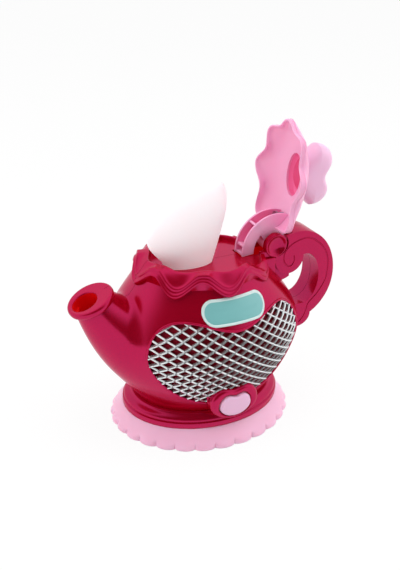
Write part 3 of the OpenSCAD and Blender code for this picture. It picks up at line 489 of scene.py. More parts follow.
def moulding(
    name, colour, rough, vary=0.06, glow=0.0, metal=0.0,
    ior=1.5, shine=0.5, gloss_tint=(1, 1, 1), light=0.0,
):
    """A moulded surface: colour and gloss drift a little, with a fine moulded grain; light, where given, is a
    painted glow.
    """
    colour = linear(colour)
    material, tree, shader = new_material(name)
    dark = [c * (1 - vary) for c in colour]
    pale = [min(1, c * (1 + vary)) for c in colour]
    smooth, dull = rough * (1 - GLOSS_SPREAD), rough * (1 + GLOSS_SPREAD)
    where = new_node(tree, "TexCoord")
    drift = new_node(tree, "TexNoise", {"Scale": DRIFT_SCALE, "Detail": DRIFT_DETAIL})
    tint = new_node(tree, "MixRGB", {"Color1": [*dark, 1], "Color2": [*pale, 1]})
    gloss = new_node(tree, "MapRange", {"To Min": smooth, "To Max": dull})
    grain = new_node(tree, "TexNoise", {"Scale": GRAIN_SCALE, "Detail": GRAIN_DETAIL})
    bump = new_node(tree, "Bump", {"Strength": GRAIN_STRENGTH, "Distance": GRAIN_DEPTH})
    links(
        tree,
        (where.outputs["Object"], drift.inputs["Vector"]),
        (where.outputs["Object"], grain.inputs["Vector"]),
        (drift.outputs["Fac"], tint.inputs["Fac"]),
        (tint.outputs["Color"], shader.inputs["Base Color"]),
        (drift.outputs["Fac"], gloss.inputs["Value"]),
        (gloss.outputs["Result"], shader.inputs["Roughness"]),
        (grain.outputs["Fac"], bump.inputs["Height"]),
        (bump.outputs["Normal"], shader.inputs["Normal"]),
    )
    fill(shader, {
        "Metallic": metal,
        "IOR": ior,
        "Specular IOR Level": shine,
        "Specular Tint": [*gloss_tint, 1],
        # Emission from light: a painted glow on the pieces that are given it
        "Emission Color": [*colour, 1],
        "Emission Strength": light,
        "Subsurface Weight": glow,
        "Subsurface Radius": GLOW_RADIUS,
        "Subsurface Scale": 1.0,
    })
    return material


FINISHES = {
    "crimson_plastic": dict(
        colour=(150, 0, 22), rough=0.16, ior=2.2, shine=1.0, gloss_tint=(1.0, 0.06, 0.27)
    ),
    # Inside of the spout's hole: a brighter red with a painted glow, lighting a hollow that the lamps leave dark
    "hole_painted_glow": dict(colour=(196, 2, 6), rough=0.4, light=0.25),
    # Inside of the arm's pocket: a red with a painted glow, lighting a hollow that the lamps leave dark
    "slot_painted_glow": dict(colour=(170, 1, 8), rough=0.4, light=0.4),
    "rose_plastic": dict(colour=(245, 172, 208), rough=0.3, glow=0.25),
    # A darker copy of the lid's pink: painted shade for the arm's channel bed and inner walls
    "rose_painted_shade": dict(colour=(240, 130, 178), rough=0.35, glow=0.2),
    "lilac_plastic": dict(colour=(240, 192, 222), rough=0.32, glow=0.25),
    # Inside of the knob's hollow: a darker pink as painted shade, lifted by a painted glow
    "knob_painted_shade_and_glow": dict(colour=(228, 112, 160), rough=0.4, light=0.22),
    "blush_plastic": dict(colour=(250, 190, 218), rough=0.3, glow=0.3),
    # The plume's light is a painted glow that keeps the puff white; the plume is no lamp
    "frosted_vinyl": dict(colour=(250, 240, 243), rough=0.5, vary=0.02, glow=0.4, light=0.13),
    "metallised_plastic": dict(colour=(236, 240, 242), rough=0.24, metal=0.85),
    "dark_red_plastic": dict(colour=(128, 4, 28), rough=0.45, shine=0.1),
    "teal_plastic": dict(colour=(120, 182, 182), rough=0.3),
    "plaque_border": dict(colour=(206, 226, 224), rough=0.3),
    "steel": dict(colour=(176, 178, 184), rough=0.3, metal=1.0),
    "black_plastic": dict(colour=(42, 42, 46), rough=0.45),
    "board_green": dict(colour=(30, 107, 58), rough=0.4),
    "lamp_clear": dict(colour=(246, 231, 200), rough=0.1),
    "cell_jacket": dict(colour=(124, 138, 146), rough=0.35),
}
MATERIALS = {name: moulding(name, **finish) for name, finish in FINISHES.items()}
for entry in frame["record"]["subparts"]:
    mesh = frame["nodes"][entry["node"]].data
    mesh.materials.clear()
    mesh.materials.append(MATERIALS[entry["material_slot"]])


# The belly and the spout as one smooth skin


def belly_shape(z):
    """Half length, half depth and middle of the belly at height z."""
    down = np.clip((BELLY_Z - z) / (BELLY_Z - FOOT_Z), 0, None)
    up = np.clip((z - BELLY_Z) / (DECK_Z - BELLY_Z), 0, 1)
    skirt = 1 - down**SKIRT_POWER
    crown = np.cos(np.pi / 2 * up) ** CROWN_POWER

    def half(foot, mid, deck):
        return np.where(z < BELLY_Z, foot + (mid - foot) * skirt, deck + (mid - deck) * crown)

    return half(FOOT_A, BELLY_A, DECK_A), half(FOOT_B, BELLY_B, DECK_B), -DECK_SHIFT * up**2


def belly_front(x, z, inset=0.0):
    """The point of the belly's front at x and z, drawn in by inset."""
    a, b, c = belly_shape(np.asarray(z, float))
    u = np.clip((x - c) / (a - inset), -1, 1)
    return np.stack([np.asarray(x, float), -(b - inset) * np.sqrt(1 - u**2), np.asarray(z, float)], -1)


def belly_ring(z, n=160):
    a, b, c = (float(v) for v in belly_shape(np.array(float(z))))
    return oval(c, a, b, z, n)


def spout_at(t):
    """The spout's middle line in XZ, from 0 in the belly to 1 at the mouth."""
    t = np.asarray(t, float)[..., None]
    return (1 - t) ** 2 * SPOUT[0] + 2 * t * (1 - t) * SPOUT[1] + t**2 * SPOUT[2]


def spout_way(t):
    """The way that the spout's middle line runs."""
    t = np.asarray(t, float)[..., None]
    return 2 * (1 - t) * (SPOUT[1] - SPOUT[0]) + 2 * t * (SPOUT[2] - SPOUT[1])


def spout_ring(t, n=120):
    p, d = spout_at(t), spout_way(t)
    d = d / np.linalg.norm(d)
    r = SPOUT_R + SPOUT_TAPER * (1 - t)
    f = around(n)
    return np.column_stack([p[0] - r * np.sin(f) * d[1], r * np.cos(f), p[1] + r * np.sin(f) * d[0]])


def body_field(p):
    """About how far points lie outside the smooth skin of belly and spout."""
    a, b, c = belly_shape(p[:, 2])
    u, v = (p[:, 0] - c) / a, p[:, 1] / b
    q = np.maximum(np.hypot(u, v), 1e-6)
    belly = (q - 1) * q / np.maximum(np.hypot(u / a, v / b), 1e-9)
    flat = p[:, [0, 2]]
    samples = np.linspace(0, 1.1, 45)
    t = samples[((flat[:, None] - spout_at(samples)) ** 2).sum(2).argmin(1)]
    bend = 2 * (SPOUT[2] - 2 * SPOUT[1] + SPOUT[0])
    for _ in range(3):
        off, way = flat - spout_at(t), spout_way(t)
        slope = ((way**2).sum(1) - (off * bend).sum(1)).clip(1.0)
        t = np.clip(t + (off * way).sum(1) / slope, -0.1, 1.2)
    off = flat - spout_at(t)
    spout = np.sqrt((off**2).sum(1) + p[:, 1] ** 2) - (SPOUT_R + SPOUT_TAPER * (1 - t))
    h = np.clip(0.5 + 0.5 * (spout - belly) / SPOUT_BLEND, 0, 1)
    return mix(spout, belly, h) - SPOUT_BLEND * h * (1 - h)


def field_way(p, step=0.05):
    """The way out of the skin at points, and how steeply the field rises there."""
    axes = step * np.eye(3)
    grad = np.column_stack([(body_field(p + e) - body_field(p - e)) / (2 * step) for e in axes])
    steep = np.linalg.norm(grad, axis=1).clip(1e-6)
    return grad / steep[:, None], steep


def body_solid():
    """Belly and spout blended, a little longer than they are at foot, deck and mouth."""
    heights = np.linspace(FOOT_Z - OVERRUN, DECK_Z + OVERRUN, 60)
    belly = make("belly", *skin([belly_ring(z) for z in heights]))
    spout = make("spout", *skin([spout_ring(t) for t in np.linspace(0, SPOUT_REACH, 30)]))
    obj = joined("body", [belly, spout])
    remesh = obj.modifiers.new("remesh", "REMESH")
    remesh.mode = "VOXEL"
    remesh.voxel_size = VOXEL * MM
    settle(obj)
    p = points_of(obj)
    spare = OVERRUN / 2
    kept = (p[:, 2] > FOOT_Z - spare) & (p[:, 2] < DECK_Z + spare) & ((p - MOUTH) @ MOUTH_OUT < spare)
    for _ in range(4):
        way, steep = field_way(p[kept])
        p[kept] -= way * (body_field(p[kept]) / steep)[:, None]
    place(obj, p)
    return obj


SOLID_BODY = body_solid()


def drawn_in(depth):
    """The solid body with its skin moved inwards."""
    obj = copy_of(SOLID_BODY)
    p = points_of(obj)
    way, _ = field_way(p)
    place(obj, p - depth * way)
    return obj


def half_of(obj, side, gap=SEAM):
    """The part of an object in front of the seam, for side -1, or behind it."""
    y0, y1 = (-FAR, -gap / 2) if side < 0 else (gap / 2, FAR)
    return cut(copy_of(obj), block((-FAR, y0, -FAR), (FAR, y1, FAR)), operation="INTERSECT")


def seam_groove():
    """The fine line between the halves, which stops part of the way into their walls."""
    core = cut(drawn_in(SEAM_DEPTH), block((-FAR, -FAR, DECK_Z - SEAM_DEPTH), (FAR, FAR, FAR)))
    return cut(block((-FAR, -SEAM / 2, -FAR), (FAR, SEAM / 2, FAR)), core)


def arm_sweep():
    """The room that the lid's arm needs as it turns."""
    return slab("sweep", turning_circle(SLOT_R, ROOT_X), -SLOT_W / 2, SLOT_W / 2)


def press_room():
    """The room that the pressed button needs behind its bezel."""
    rows = [(PRESS_ROOM, -BEZEL_Y), (PRESS_ROOM, -BEZEL_Y + PRESS_DEPTH)]
    return make("press", *skin(heart_rows(rows, **BUTTON)))


def shell():
    """The hollow skin with its openings: foot, deck, mouth, grille and the arm's slot."""
    obj = cut(copy_of(SOLID_BODY), drawn_in(WALL))
    below = block((-FAR, -FAR, -FAR), (FAR, FAR, FOOT_Z))
    above = block((-FAR, -FAR, DECK_Z - 1), (FAR, FAR, FAR))
    end = rod("end", MOUTH - LIP_SEAT * MOUTH_OUT, MOUTH_OUT, 3 * LIP_R, 4 * LIP_R)
    hole = MOUTH - POUR_CUT * MOUTH_OUT - POUR_SHIFT * MOUTH_HEEL
    pour = rod("pour", hole, MOUTH_OUT, POUR_R + POUR_ROOM, 2 * LIP_R)
    window = slab("heart", grille_heart(), -FAR, -BELLY_B / 6)
    return cut(obj, below, above, end, pour, window, arm_sweep(), press_room())


def collar_section(f):
    """The frill at angle f: inner wall, rolled brim, slope to the wavy ridge, groove and hem."""
    wave = math.cos(LOBES * f)
    low = np.clip((COLLAR_END + COLLAR_FALL - abs(math.remainder(f, 2 * math.pi))) / COLLAR_FALL, 0, 1)
    top = mix(BRIM_Z - BRIM_DROP * wave, COLLAR_LOW, low**2 * (3 - 2 * low))
    hem = min(DECK_Z - HEM_LOW - HEM_DROP * wave, top - COLLAR_H)
    ridge = min(hem + RIDGE, top - RIDGE_LOW)
    way = np.array([math.cos(f), math.sin(f)])
    inner = (np.array([BRIM_A, BRIM_B]) + BRIM_WAVE * wave) * way
    outer = (np.array([HEM_A, HEM_B]) + HEM_WAVE * wave) * way - [DECK_SHIFT, 0]
    # Share of the way from brim to hem, and height
    profile = smooth_curve(
        [
            [0.0, DECK_Z - 1.5], [0.0, top - 2.0], [0.03, top - 0.5], [0.12, top],
            [0.24, mix(top, ridge, 0.08)], [0.45, mix(top, ridge, 0.45)], [0.66, mix(top, ridge, 0.9)],
            [0.76, ridge - 0.1], [0.81, ridge - 0.9],
            [0.82, mix(ridge, hem, 0.36)], [0.87, mix(ridge, hem, 0.52)], [0.95, mix(ridge, hem, 0.64)],
            [1.0, hem + 1.2], [1.0, hem + 0.4], [0.96, hem - 0.5],
        ],
        4,
    )
    flat = mix(inner, outer, profile[:, :1])
    foot_z = min(hem - 1.8, DECK_Z - 3.5)
    a, b, middle = (float(v) for v in belly_shape(np.array(foot_z)))
    foot = [middle + (a - 0.5) * math.cos(f), (b - 0.5) * math.sin(f), foot_z]
    root = [*mix(inner, outer, 0.2), DECK_Z - 4]
    return np.vstack([np.column_stack([flat, profile[:, 1]]), foot, root])


def collar():
    """The wavy frill, open where the hinge's block stands."""
    obj = make("collar", *skin([collar_section(f) for f in around(WAVY_STEPS)], wrap=True))
    gap = TAB_HALF + SEAT
    return cut(obj, block((TAB_X - TAB_L, -gap, -FAR), (FAR, gap, FAR)))


def deck():
    """The plate inside the frill, with the plume's slot and the arm's."""
    a, b = mix(BRIM_A, HEM_A, DECK_SHARE), mix(BRIM_B, HEM_B, DECK_SHARE)
    obj = make("deck", *skin([oval(-DECK_SHARE * DECK_SHIFT, a, b, z) for z in (DECK_Z - WALL, DECK_Z)]))
    slot_a, slot_b = PLUME_A + PLUME_FIT, PLUME_B + PLUME_FIT
    ends = (DECK_Z - 2 * WALL, DECK_Z + WALL)
    slot = make("slot", *skin([oval(-PLUME_X, slot_a, slot_b, z, 120) for z in ends]))
    return cut(obj, slot, arm_sweep())


def hinge_tab():
    """The block behind the frill that carries the hinge, and the root that takes the arm's tail."""
    tab = block((TAB_X - TAB_L, -TAB_HALF, TAB_Z - TAB_H), (TAB_X, TAB_HALF, TAB_Z))
    bevelled(tab, TAB_ROUND)
    outline = turning_circle(SLOT_R + WALL, ROOT_X + WALL, TAB_Z, HINGE[0] - ROOT_BACK)
    root = bevelled(slab("root", outline, -SLOT_W / 2 - WALL, SLOT_W / 2 + WALL), TAB_ROUND)
    cut(tab, root, operation="UNION")
    return cut(tab, drawn_in(0.6 * WALL), arm_sweep())


def arm_pocket():
    """The thin wall inside the body round the room that the arm swings in."""
    outline = turning_circle(SLOT_R + POCKET_T, ROOT_X, DECK_Z - WALL / 2)
    half = SLOT_W / 2 + POCKET_T
    return cut(slab("pocket", outline, -half, half), arm_sweep())


def lip():
    """The thick flat rim of the spout and the tube behind its hole."""
    # Place along the way out, radius, and share of the hole's shift
    profile = [
        (-9.0, SPOUT_R - 1.2, 0), (-5.0, SPOUT_R + 0.3, 0), (-3.6, SPOUT_R + 0.6, 0),
        (-2.6, LIP_R - 1.0, 0), (-1.6, LIP_R - 0.2, 0), (0.0, LIP_R, 0), (1.2, LIP_R - 0.3, 0),
        (1.9, LIP_R - 1.0, 0), (2.1, LIP_R - 1.8, 0), (2.0, mix(LIP_R, POUR_R, 0.6), 0.6),
        (1.9, POUR_R + 0.9, 1), (1.4, POUR_R + 0.2, 1), (0.4, POUR_R, 1), (-8.0, POUR_R + 0.2, 0.9),
        (-16.0, POUR_R + 0.6, 0.5), (-18.0, SPOUT_R - 2.4, 0),
    ]
    f = around(120)[:, None]
    rings = []
    for s, r, off in smooth_curve(profile, 4):
        middle = MOUTH + s * MOUTH_OUT - off * POUR_SHIFT * MOUTH_HEEL
        rings.append(middle + r * (np.cos(f) * MOUTH_HEEL + np.sin(f) * Y_AXIS))
    return make("lip", *skin(rings, wrap=True))


def grille_rim():
    """The rounded edge of the belly round the grille."""
    outline = grille_heart(RIM_OUT)
    return tube("rim", belly_front(outline[:, 0], outline[:, 1], RIM_INSET), RIM_R, closed=True)


def in_hole(centre, normal):
    """Whether a face looks into the spout's hole."""
    p = centre - MOUTH + POUR_SHIFT * MOUTH_HEEL
    along = p @ MOUTH_OUT
    off = p - along * MOUTH_OUT
    near = -HOLE_DEPTH < along < HOLE_EDGE and np.linalg.norm(off) < POUR_R + HOLE_SLACK
    return near and off @ normal < 0


def in_slot(centre):
    """Whether a face lies in the arm's pocket, below the deck."""
    turn = np.hypot(centre[0] - HINGE[0], centre[2] - HINGE[2])
    beside = abs(centre[1]) < SLOT_W / 2 + SLOT_SLACK
    return beside and turn < SLOT_R + SLOT_SLACK and centre[2] < DECK_Z - WALL / 2


def paint_glow_in_hollows(obj):
    """Gives the faces inside the spout's hole and the arm's pocket reds that glow a little, a painted glow in
    place of the light that would reach into them.
    """
    obj.data.materials.append(MATERIALS["hole_painted_glow"])
    obj.data.materials.append(MATERIALS["slot_painted_glow"])
    for face in obj.data.polygons:
        centre, normal = np.array(face.center) / MM, np.array(face.normal)
        face.material_index = 1 if in_hole(centre, normal) else 2 if in_slot(centre) else 0


whole = [shell(), collar(), deck(), hinge_tab(), arm_pocket(), lip()]
groove = seam_groove()
for obj in whole:
    cut(obj, copy_of(groove))
for side, node in ((-1, "body_front"), (1, "body_back")):
    parts = [half_of(obj, side, SEAM_FIT) for obj in whole]
    if side < 0:
        parts.append(grille_rim())
    paint_glow_in_hollows(dress(joined(node, parts), node + "_skin", "crimson_plastic", "pot", [node]))
for obj in [*whole, groove]:
    bpy.data.objects.remove(obj)


# Base


def saucer():
    """The scalloped skirt, hollow below, with the door's opening and the screws' holes."""
    f = around(SCALLOPS * SCALLOP_STEPS)
    u = np.mod(f * SCALLOPS / (2 * np.pi), 1) * 2 - 1
    notch = SCALLOP_DEPTH * (1 - np.sqrt(1 - (SCALLOP_ARC * u) ** 2))

    def ring(inset, z, fade, s):
        a = mix(SAUCER_A, PLINTH_A, s) - inset - fade * notch
        b = mix(SAUCER_B, PLINTH_B, s) - inset - fade * notch
        return np.column_stack([a * np.cos(f), b * np.sin(f), np.full(len(f), float(z))])

    edge = [(0.7, 0), (0.15, 0.5), (0, 1.1), (0.05, SAUCER_T - 0.7), (0.5, SAUCER_T)]
    rows = [ring(inset, z, 1, 0) for inset, z in edge]
    for s in np.linspace(0.08, 1, 12):
        rows.append(ring(0.5 * (1 - s), mix(SAUCER_T, SAUCER_Z, s**0.9), max(0, 1 - 3 * s) ** 2, s))
    obj = make("saucer", *skin(rows))
    wide = oval(0, SAUCER_A - SAUCER_WALL, SAUCER_B - SAUCER_WALL, SAUCER_FLOOR)
    narrow = oval(0, PLINTH_A - SAUCER_WALL, PLINTH_B - SAUCER_WALL, SAUCER_Z + 1)
    low, high = node_box("battery_door")
    door_low = (low[0] - DOOR_FIT, low[1] - DOOR_FIT, -1)
    door_high = (high[0] + DOOR_FIT, high[1] + DOOR_FIT, 2 * SAUCER_FLOOR)
    cut(obj, make("hollow", *skin([wide, narrow])), block(door_low, door_high))
    low, high = node_box("base_screws")
    for x in (low[0] + SCREW_R, high[0] - SCREW_R):
        for y in (low[1] + SCREW_R, high[1] - SCREW_R):
            cut(obj, rod("hole", (x, y, -1), (0, 0, 1), SCREW_HOLE_R, 3 * SAUCER_FLOOR))
    return obj


def plinth():
    """The stepped ring between saucer and belly."""
    # Inset from the ring's edge, and height above the saucer
    steps = [(0.6, 0), (0, 0.5), (0, 3.6), (0.3, 4.1), (1.1, 4.5), (0.9, 4.9), (0.9, 5.6)]
    outer = [(PLINTH_A - inset, PLINTH_B - inset, SAUCER_Z + h) for inset, h in steps]
    outer += [
        (PLINTH_A - 1.6, PLINTH_B - 1.5, SAUCER_Z + 7.2), (FOOT_A + 3.2, FOOT_B + 3.0, FOOT_Z - 1.4),
        (FOOT_A + 2.2, FOOT_B + 2.2, FOOT_Z - 0.3), (FOOT_A + 1.4, FOOT_B + 1.4, FOOT_Z),
    ]
    inner = [(FOOT_A - 1, FOOT_B - 1, FOOT_Z), (FOOT_A - 2, FOOT_B - 2, SAUCER_Z)]
    rows = [oval(0, *row) for row in np.vstack([smooth_curve(np.array(outer), 4), inner])]
    return cut(make("plinth", *skin(rows, wrap=True)), press_room())


dress(saucer(), "saucer_skin", "blush_plastic", "pot", ["saucer"])
dress(plinth(), "plinth_skin", "crimson_plastic", "pot", ["plinth"])


# Handle


def handle_half(side):
    """The loop with its finger gap, scroll and toe, its edges rounded and a groove cut along its face."""
    obj = slab("loop", egg(HANDLE, *HANDLE_EGG), -HANDLE_T, HANDLE_T)
    low, high = FINGER[1] - FINGER_EGG[2], FINGER[1] + FINGER_EGG[1]
    gap = slab("gap", egg(FINGER, *FINGER_EGG), -FAR, FAR)
    cut(obj, gap, block((0, -FAR, low), (FINGER[0], FAR, high)))
    scroll = slab("scroll", egg(SCROLL, SCROLL_R, SCROLL_R, SCROLL_R), -HANDLE_T, HANDLE_T)
    toe = slab("toe", egg(TOE, TOE_A, TOE_B, TOE_B), -HANDLE_T, HANDLE_T)
    cut(obj, scroll, toe, operation="UNION")
    bevelled(obj, HANDLE_ROUND, segments=5, angle=60)
    cut(obj, tube("groove", stood(smooth_curve(GROOVE, 8), side * HANDLE_T), GROOVE_R, n=10))
    tab_room = block((-FAR, -FAR, -FAR), (TAB_X + SWING, FAR, FAR))
    ear_room = rod("room", (HINGE[0], -FAR, HINGE[2]), Y_AXIS, EAR_R + 2 * SEAT, 2 * FAR)
    root = SLOT_W / 2 + WALL + SEAT
    root_room = block((-FAR, -root, -FAR), (ROOT_X + WALL + SEAT, root, FAR))
    cut(obj, tab_room, ear_room, root_room, copy_of(SOLID_BODY))
    piece = half_of(obj, side)
    bpy.data.objects.remove(obj)
    return piece


for side, node in ((-1, "handle_front"), (1, "handle_back")):
    dress(handle_half(side), node + "_skin", "crimson_plastic", "pot", [node])


# Lid, arm and knob


def lid_edge(f, wave):
    """The lid's edge at angle f, taking a share of the hem's wave."""
    c = wave * LID_WAVE * math.cos(LOBES * f) * (1 - LID_FADE * max(0, -math.cos(f)))
    reach = LID_TIP + LID_CX - LID_WAVE if math.cos(f) < 0 else END_REACH * (LID_END - LID_CX)
    x = min(LID_END, LID_CX + (reach + c) * math.cos(f))
    return np.array([x, (LID_B - LID_WAVE + c) * math.sin(f)])


def lid_section(f):
    """The lid at angle f: thin wavy hem, hollow inside, oval hole, dome and band."""
    lift = LID_LIFT * max(0, -math.cos(f))
    rim = LID_Z + lift - LID_DROP * math.cos(LOBES * f) * (1 - DROP_FADE * abs(math.cos(f)))
    crown, rise = LID_Z + LID_BAND + CROWN_LIFT * lift, LID_RISE - CROWN_LIFT * lift
    under, inner_top = crown - LID_T, LID_TOP - LID_T
    hole = np.array([KNOB_X + KNOB_HOLE_A * math.cos(f), KNOB_HOLE_B * math.sin(f)])
    # Share of the way from hole to edge, height, and share of the wave
    profile = [
        (0.95, rim, 1), (0.94, rim + 0.3, 1), (0.935, rim + 2.0, 1), (0.9, crown - 0.6, 0.7),
        (0.85, under + 0.26 * rise, 0.3), (0.75, under + 0.48 * rise, 0.1), (0.6, under + 0.71 * rise, 0),
        (0.35, under + 0.92 * rise, 0), (0.03, inner_top, 0), (0, inner_top + 0.35, 0),
        (0, LID_TOP, 0), (0.35, crown + 0.92 * rise, 0), (0.6, crown + 0.71 * rise, 0),
        (0.75, crown + 0.5 * rise, 0.1), (0.87, crown + 0.28 * rise, 0.3), (0.955, crown + 0.09 * rise, 0.6),
        (0.99, crown - 0.1, 0.85), (1, crown - 0.5, 0.95), (1, crown - 1.0, 1), (0.985, crown - 1.1, 1),
        (0.985, rim + 1.3, 1), (1, rim + 1.2, 1), (1, rim + 0.3, 1), (0.99, rim, 1),
    ]
    return np.array([[*mix(hole, lid_edge(f, wave), share), z] for share, z, wave in profile])


def lid():
    """The lid with room for its arm's pad."""
    obj = make("lid", *skin([lid_section(f) for f in around(WAVY_STEPS)], wrap=True))
    room = ARM_W / 2 + SEAT
    return turned(cut(obj, block((PAD_END, -room, -FAR), (FAR, room, PAD_Z))))


def arm():
    """A curved channel with two side walls and ribs, and the bed between them."""
    inner_r = ARM_R - ARM_DEPTH
    half, bed_half = ARM_W / 2, ARM_W / 2 - BED_INSET
    hub = np.array([[HINGE[0], HINGE[2] - HUB_R + 1], [HINGE[0], HINGE[2] + HUB_R - 1]])
    inner = arc(inner_r, TAIL_DEG, WEB_TO, 32, ARM_OFF)

    def side_view(r, start):
        return np.vstack([arc(r, start, TAIL_DEG, 64, ARM_OFF), inner, hub])[::-1]

    bed = slab("bed", side_view(inner_r + ARM_FLOOR, ARM_FROM), -bed_half, bed_half)
    wall_view = side_view(ARM_R, ARM_FROM - 2)
    parts = []
    for y in (-half, half - ARM_WALL):
        parts.append(bevelled(slab("wall", wall_view, y, y + ARM_WALL), ARM_ROUND, segments=3))
    for deg, low in RIBS:
        top = arc(ARM_R - low, deg, deg + RIB_DEG, 6, ARM_OFF)
        rib = np.vstack([top, arc(inner_r + 0.5, deg + RIB_DEG, deg, 6, ARM_OFF)])
        parts.append(bevelled(slab("rib", rib[::-1], -bed_half, bed_half), RIB_ROUND, segments=2))
    parts.append(rod("hub", (HINGE[0], -half, HINGE[2]), Y_AXIS, HUB_R, ARM_W))
    return turned(joined("arm", parts)), turned(bed)


def heart_pillow(g=0.0):
    """The knob's heart with round edges, drawn in by g, its point sunk below z = 0."""
    outline = grown(heart(KNOB_W, KNOB_H + KNOB_SUNK, KNOB_NOTCH, KNOB_POWER), -g) - [0, KNOB_SUNK]
    middle = np.array([0.0, KNOB_MIDDLE])
    rows = []
    for a in np.linspace(-np.pi / 2, np.pi / 2, 33)[1:-1]:
        s = abs(math.cos(a)) ** KNOB_SOFT
        rows.append(stood(mix(middle, outline, s), (KNOB_T / 2 - g) * math.sin(a)))
    return make("pillow", *skin(rows))


def knob():
    """The hollow heart, and which of its faces line the hollow."""
    foot_rows = ((1.6, 0), (1.5, 1.5), (1.0, 4), (0.4, 6))
    foot = [oval(0, KNOB_HOLE_A + r, KNOB_HOLE_B + r, z, 96) for r, z in foot_rows]
    obj = cut(heart_pillow(), make("foot", *skin(foot)), operation="UNION")
    cut(obj, block((-FAR, -FAR, -FAR), (FAR, FAR, 0)))
    hole_rows = ((0, -2), (0, 3.4), (2, 5.2), (1.6, 8), (4, 12))
    hole = [oval(0, KNOB_HOLE_A - r, KNOB_HOLE_B - 0.5 * r, z, 96) for r, z in hole_rows]
    cut(obj, heart_pillow(KNOB_WALL), make("hole", *skin(hole)))
    place(obj, points_of(obj) + [KNOB_X, 0, LID_TOP])
    middle = Vector((KNOB_X * MM, 0, (LID_TOP + KNOB_MIDDLE) * MM))
    inside = [face.normal.dot(middle - face.center) > 0 for face in obj.data.polygons]
    return turned(obj), inside


def ear(side):
    """A hinge ear: a plate with a dished round end."""
    y0 = SLOT_W / 2 + SEAT
    y1 = y0 + EAR_T
    strap = np.array([
        [TAB_X - 12, TAB_Z], [TAB_X - 10.5, TAB_Z + 4.4], [TAB_X - 6.7, TAB_Z + 5],
        [HINGE[0] - EAR_R + 0.4, HINGE[2] + 1.5], [HINGE[0] + EAR_R / 2, HINGE[2] - EAR_R / 2],
        [TAB_X, TAB_Z],
    ])
    plate = bevelled(slab("strap", strap, y0, y1 - 1.0), STRAP_ROUND, segments=3)
    cut(plate, rod("room", (EAR_X, 0, HINGE[2]), Y_AXIS, EAR_R - 0.3, FAR))
    # Radius and depth, from the middle of the dish over its edge
    dish = [
        [0.2, y1 - 2.5], [3.2, y1 - 2.3], [5.6, y1 - 1.4], [6.9, y1 - 0.4], [7.5, y1],
        [EAR_R - 0.15, y1 - 0.35], [EAR_R, y1 - 1.2],
    ]
    profile = np.vstack([smooth_curve(dish, 5), [[EAR_R, y0 + 0.4], [EAR_R - 0.4, y0], [0.2, y0]]])
    rings = [stood(egg((EAR_X, HINGE[2]), r, r, r, 96), y) for r, y in profile]
    obj = joined("ear", [plate, make("disc", *skin(rings))])
    if side < 0:
        place(obj, points_of(obj) * [1, -1, 1])
    outward(obj)
    return obj


def paint_shade_on(obj, material, in_painted_shade):
    """Gives the faces that are marked a second material, a darker copy that is painted shade."""
    obj.data.materials.append(MATERIALS[material])
    for face, deep in zip(obj.data.polygons, in_painted_shade):
        face.material_index = int(deep)


dress(lid(), "lid_skin", "rose_plastic", "lid_body", ["lid"])
channel, bed = arm()
dress(channel, "lid_arm_skin", "rose_plastic", "lid_body", ["lid_arm"])
channel_faces = channel.data.polygons
# The flat faces of the two walls that look at each other, given the darker pink as painted shade
walls_inside = [f.center.y * f.normal.y < 0 and abs(f.normal.y) > 0.9 for f in channel_faces]
paint_shade_on(channel, "rose_painted_shade", walls_inside)
# The channel's bed in the darker pink, as painted shade
dress(bed, "lid_arm_bed", "rose_painted_shade", "lid_body", ["lid_arm"])
heart_knob, knob_inside = knob()
dress(heart_knob, "lid_knob_skin", "lilac_plastic", "lid_body", ["lid_knob"])
# The faces inside the knob's hollow get the darker pink as painted shade, with a painted glow
paint_shade_on(heart_knob, "knob_painted_shade_and_glow", knob_inside)
for side, node in ((-1, "hinge_ear_front"), (1, "hinge_ear_back")):
    dress(ear(side), node + "_skin", "crimson_plastic", "pot", [node])


# Plume


def plume():
    """A flat puff between its two edges, thickest low down."""
    right, left = smooth_curve(PLUME_RIGHT, 12), smooth_curve(PLUME_LEFT, 12)
    top = PLUME_RIGHT[-1][0]
    rows = [oval(-PLUME_X, PLUME_A, PLUME_B, DECK_Z - WALL, 96)]
    for u in np.sin(np.linspace(0, np.pi / 2, 64)):
        z = mix(DECK_Z, top, u)
        x1, x0 = np.interp(z, right[:, 0], right[:, 1]), np.interp(z, left[:, 0], left[:, 1])
        swell = PLUME_B + PLUME_SWELL * math.sin(PLUME_TURN * u)
        depth = swell * math.sqrt(max(PLUME_TIP, 1 - u**3))
        rows.append(oval((x0 + x1) / 2, (x1 - x0) / 2, depth, z, 96))
    return make("plume", *skin(rows))


puff = dress(plume(), "steam_plume_skin", "frosted_vinyl", "pot", ["steam_plume"])
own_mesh(puff)


# Grille, plaque and button


def inside_outline(outline, x, z):
    """Which points lie inside a closed outline, by counting crossings."""
    count = np.zeros(len(x), int)
    for (x0, z0), (x1, z1) in zip(outline, np.roll(outline, -1, 0)):
        if z0 != z1:
            crosses = (z0 > z) != (z1 > z)
            count += crosses & (x < x0 + (z - z0) / (z1 - z0) * (x1 - x0))
    return count % 2 == 1


def runs(keep):
    """Stretches of neighbouring kept places."""
    where = np.flatnonzero(keep)
    return np.split(where, np.flatnonzero(np.diff(where) > 1) + 1) if len(where) else []


def lattice():
    """Stretched metal: zigzag strands whose upper tips lie in front of the strand above."""
    strands = []
    outline = grille_heart(-GRILLE_FIT)
    x = np.linspace(-GRILLE_W - 1, GRILLE_W + 1, STRAND_STEPS)
    for i in range(int((GRILLE_Z1 - GRILLE_Z0) / (DIAMOND_H / 2)) + 2):
        wave = np.arccos(TIP_SHARP * np.cos(2 * np.pi * (x / DIAMOND_W + i / 2))) / np.pi
        z = GRILLE_Z1 + DIAMOND_H / 4 - (i + wave) * DIAMOND_H / 2
        for run in runs(inside_outline(outline, x, z)):
            if len(run) > 3:
                path = belly_front(x[run], z[run], STRAND_INSET + STRAND_WEAVE * wave[run])
                strands.append(tube("strand", path, STRAND, n=8, deep=STRAND_DEEP))
    return joined("lattice", strands)


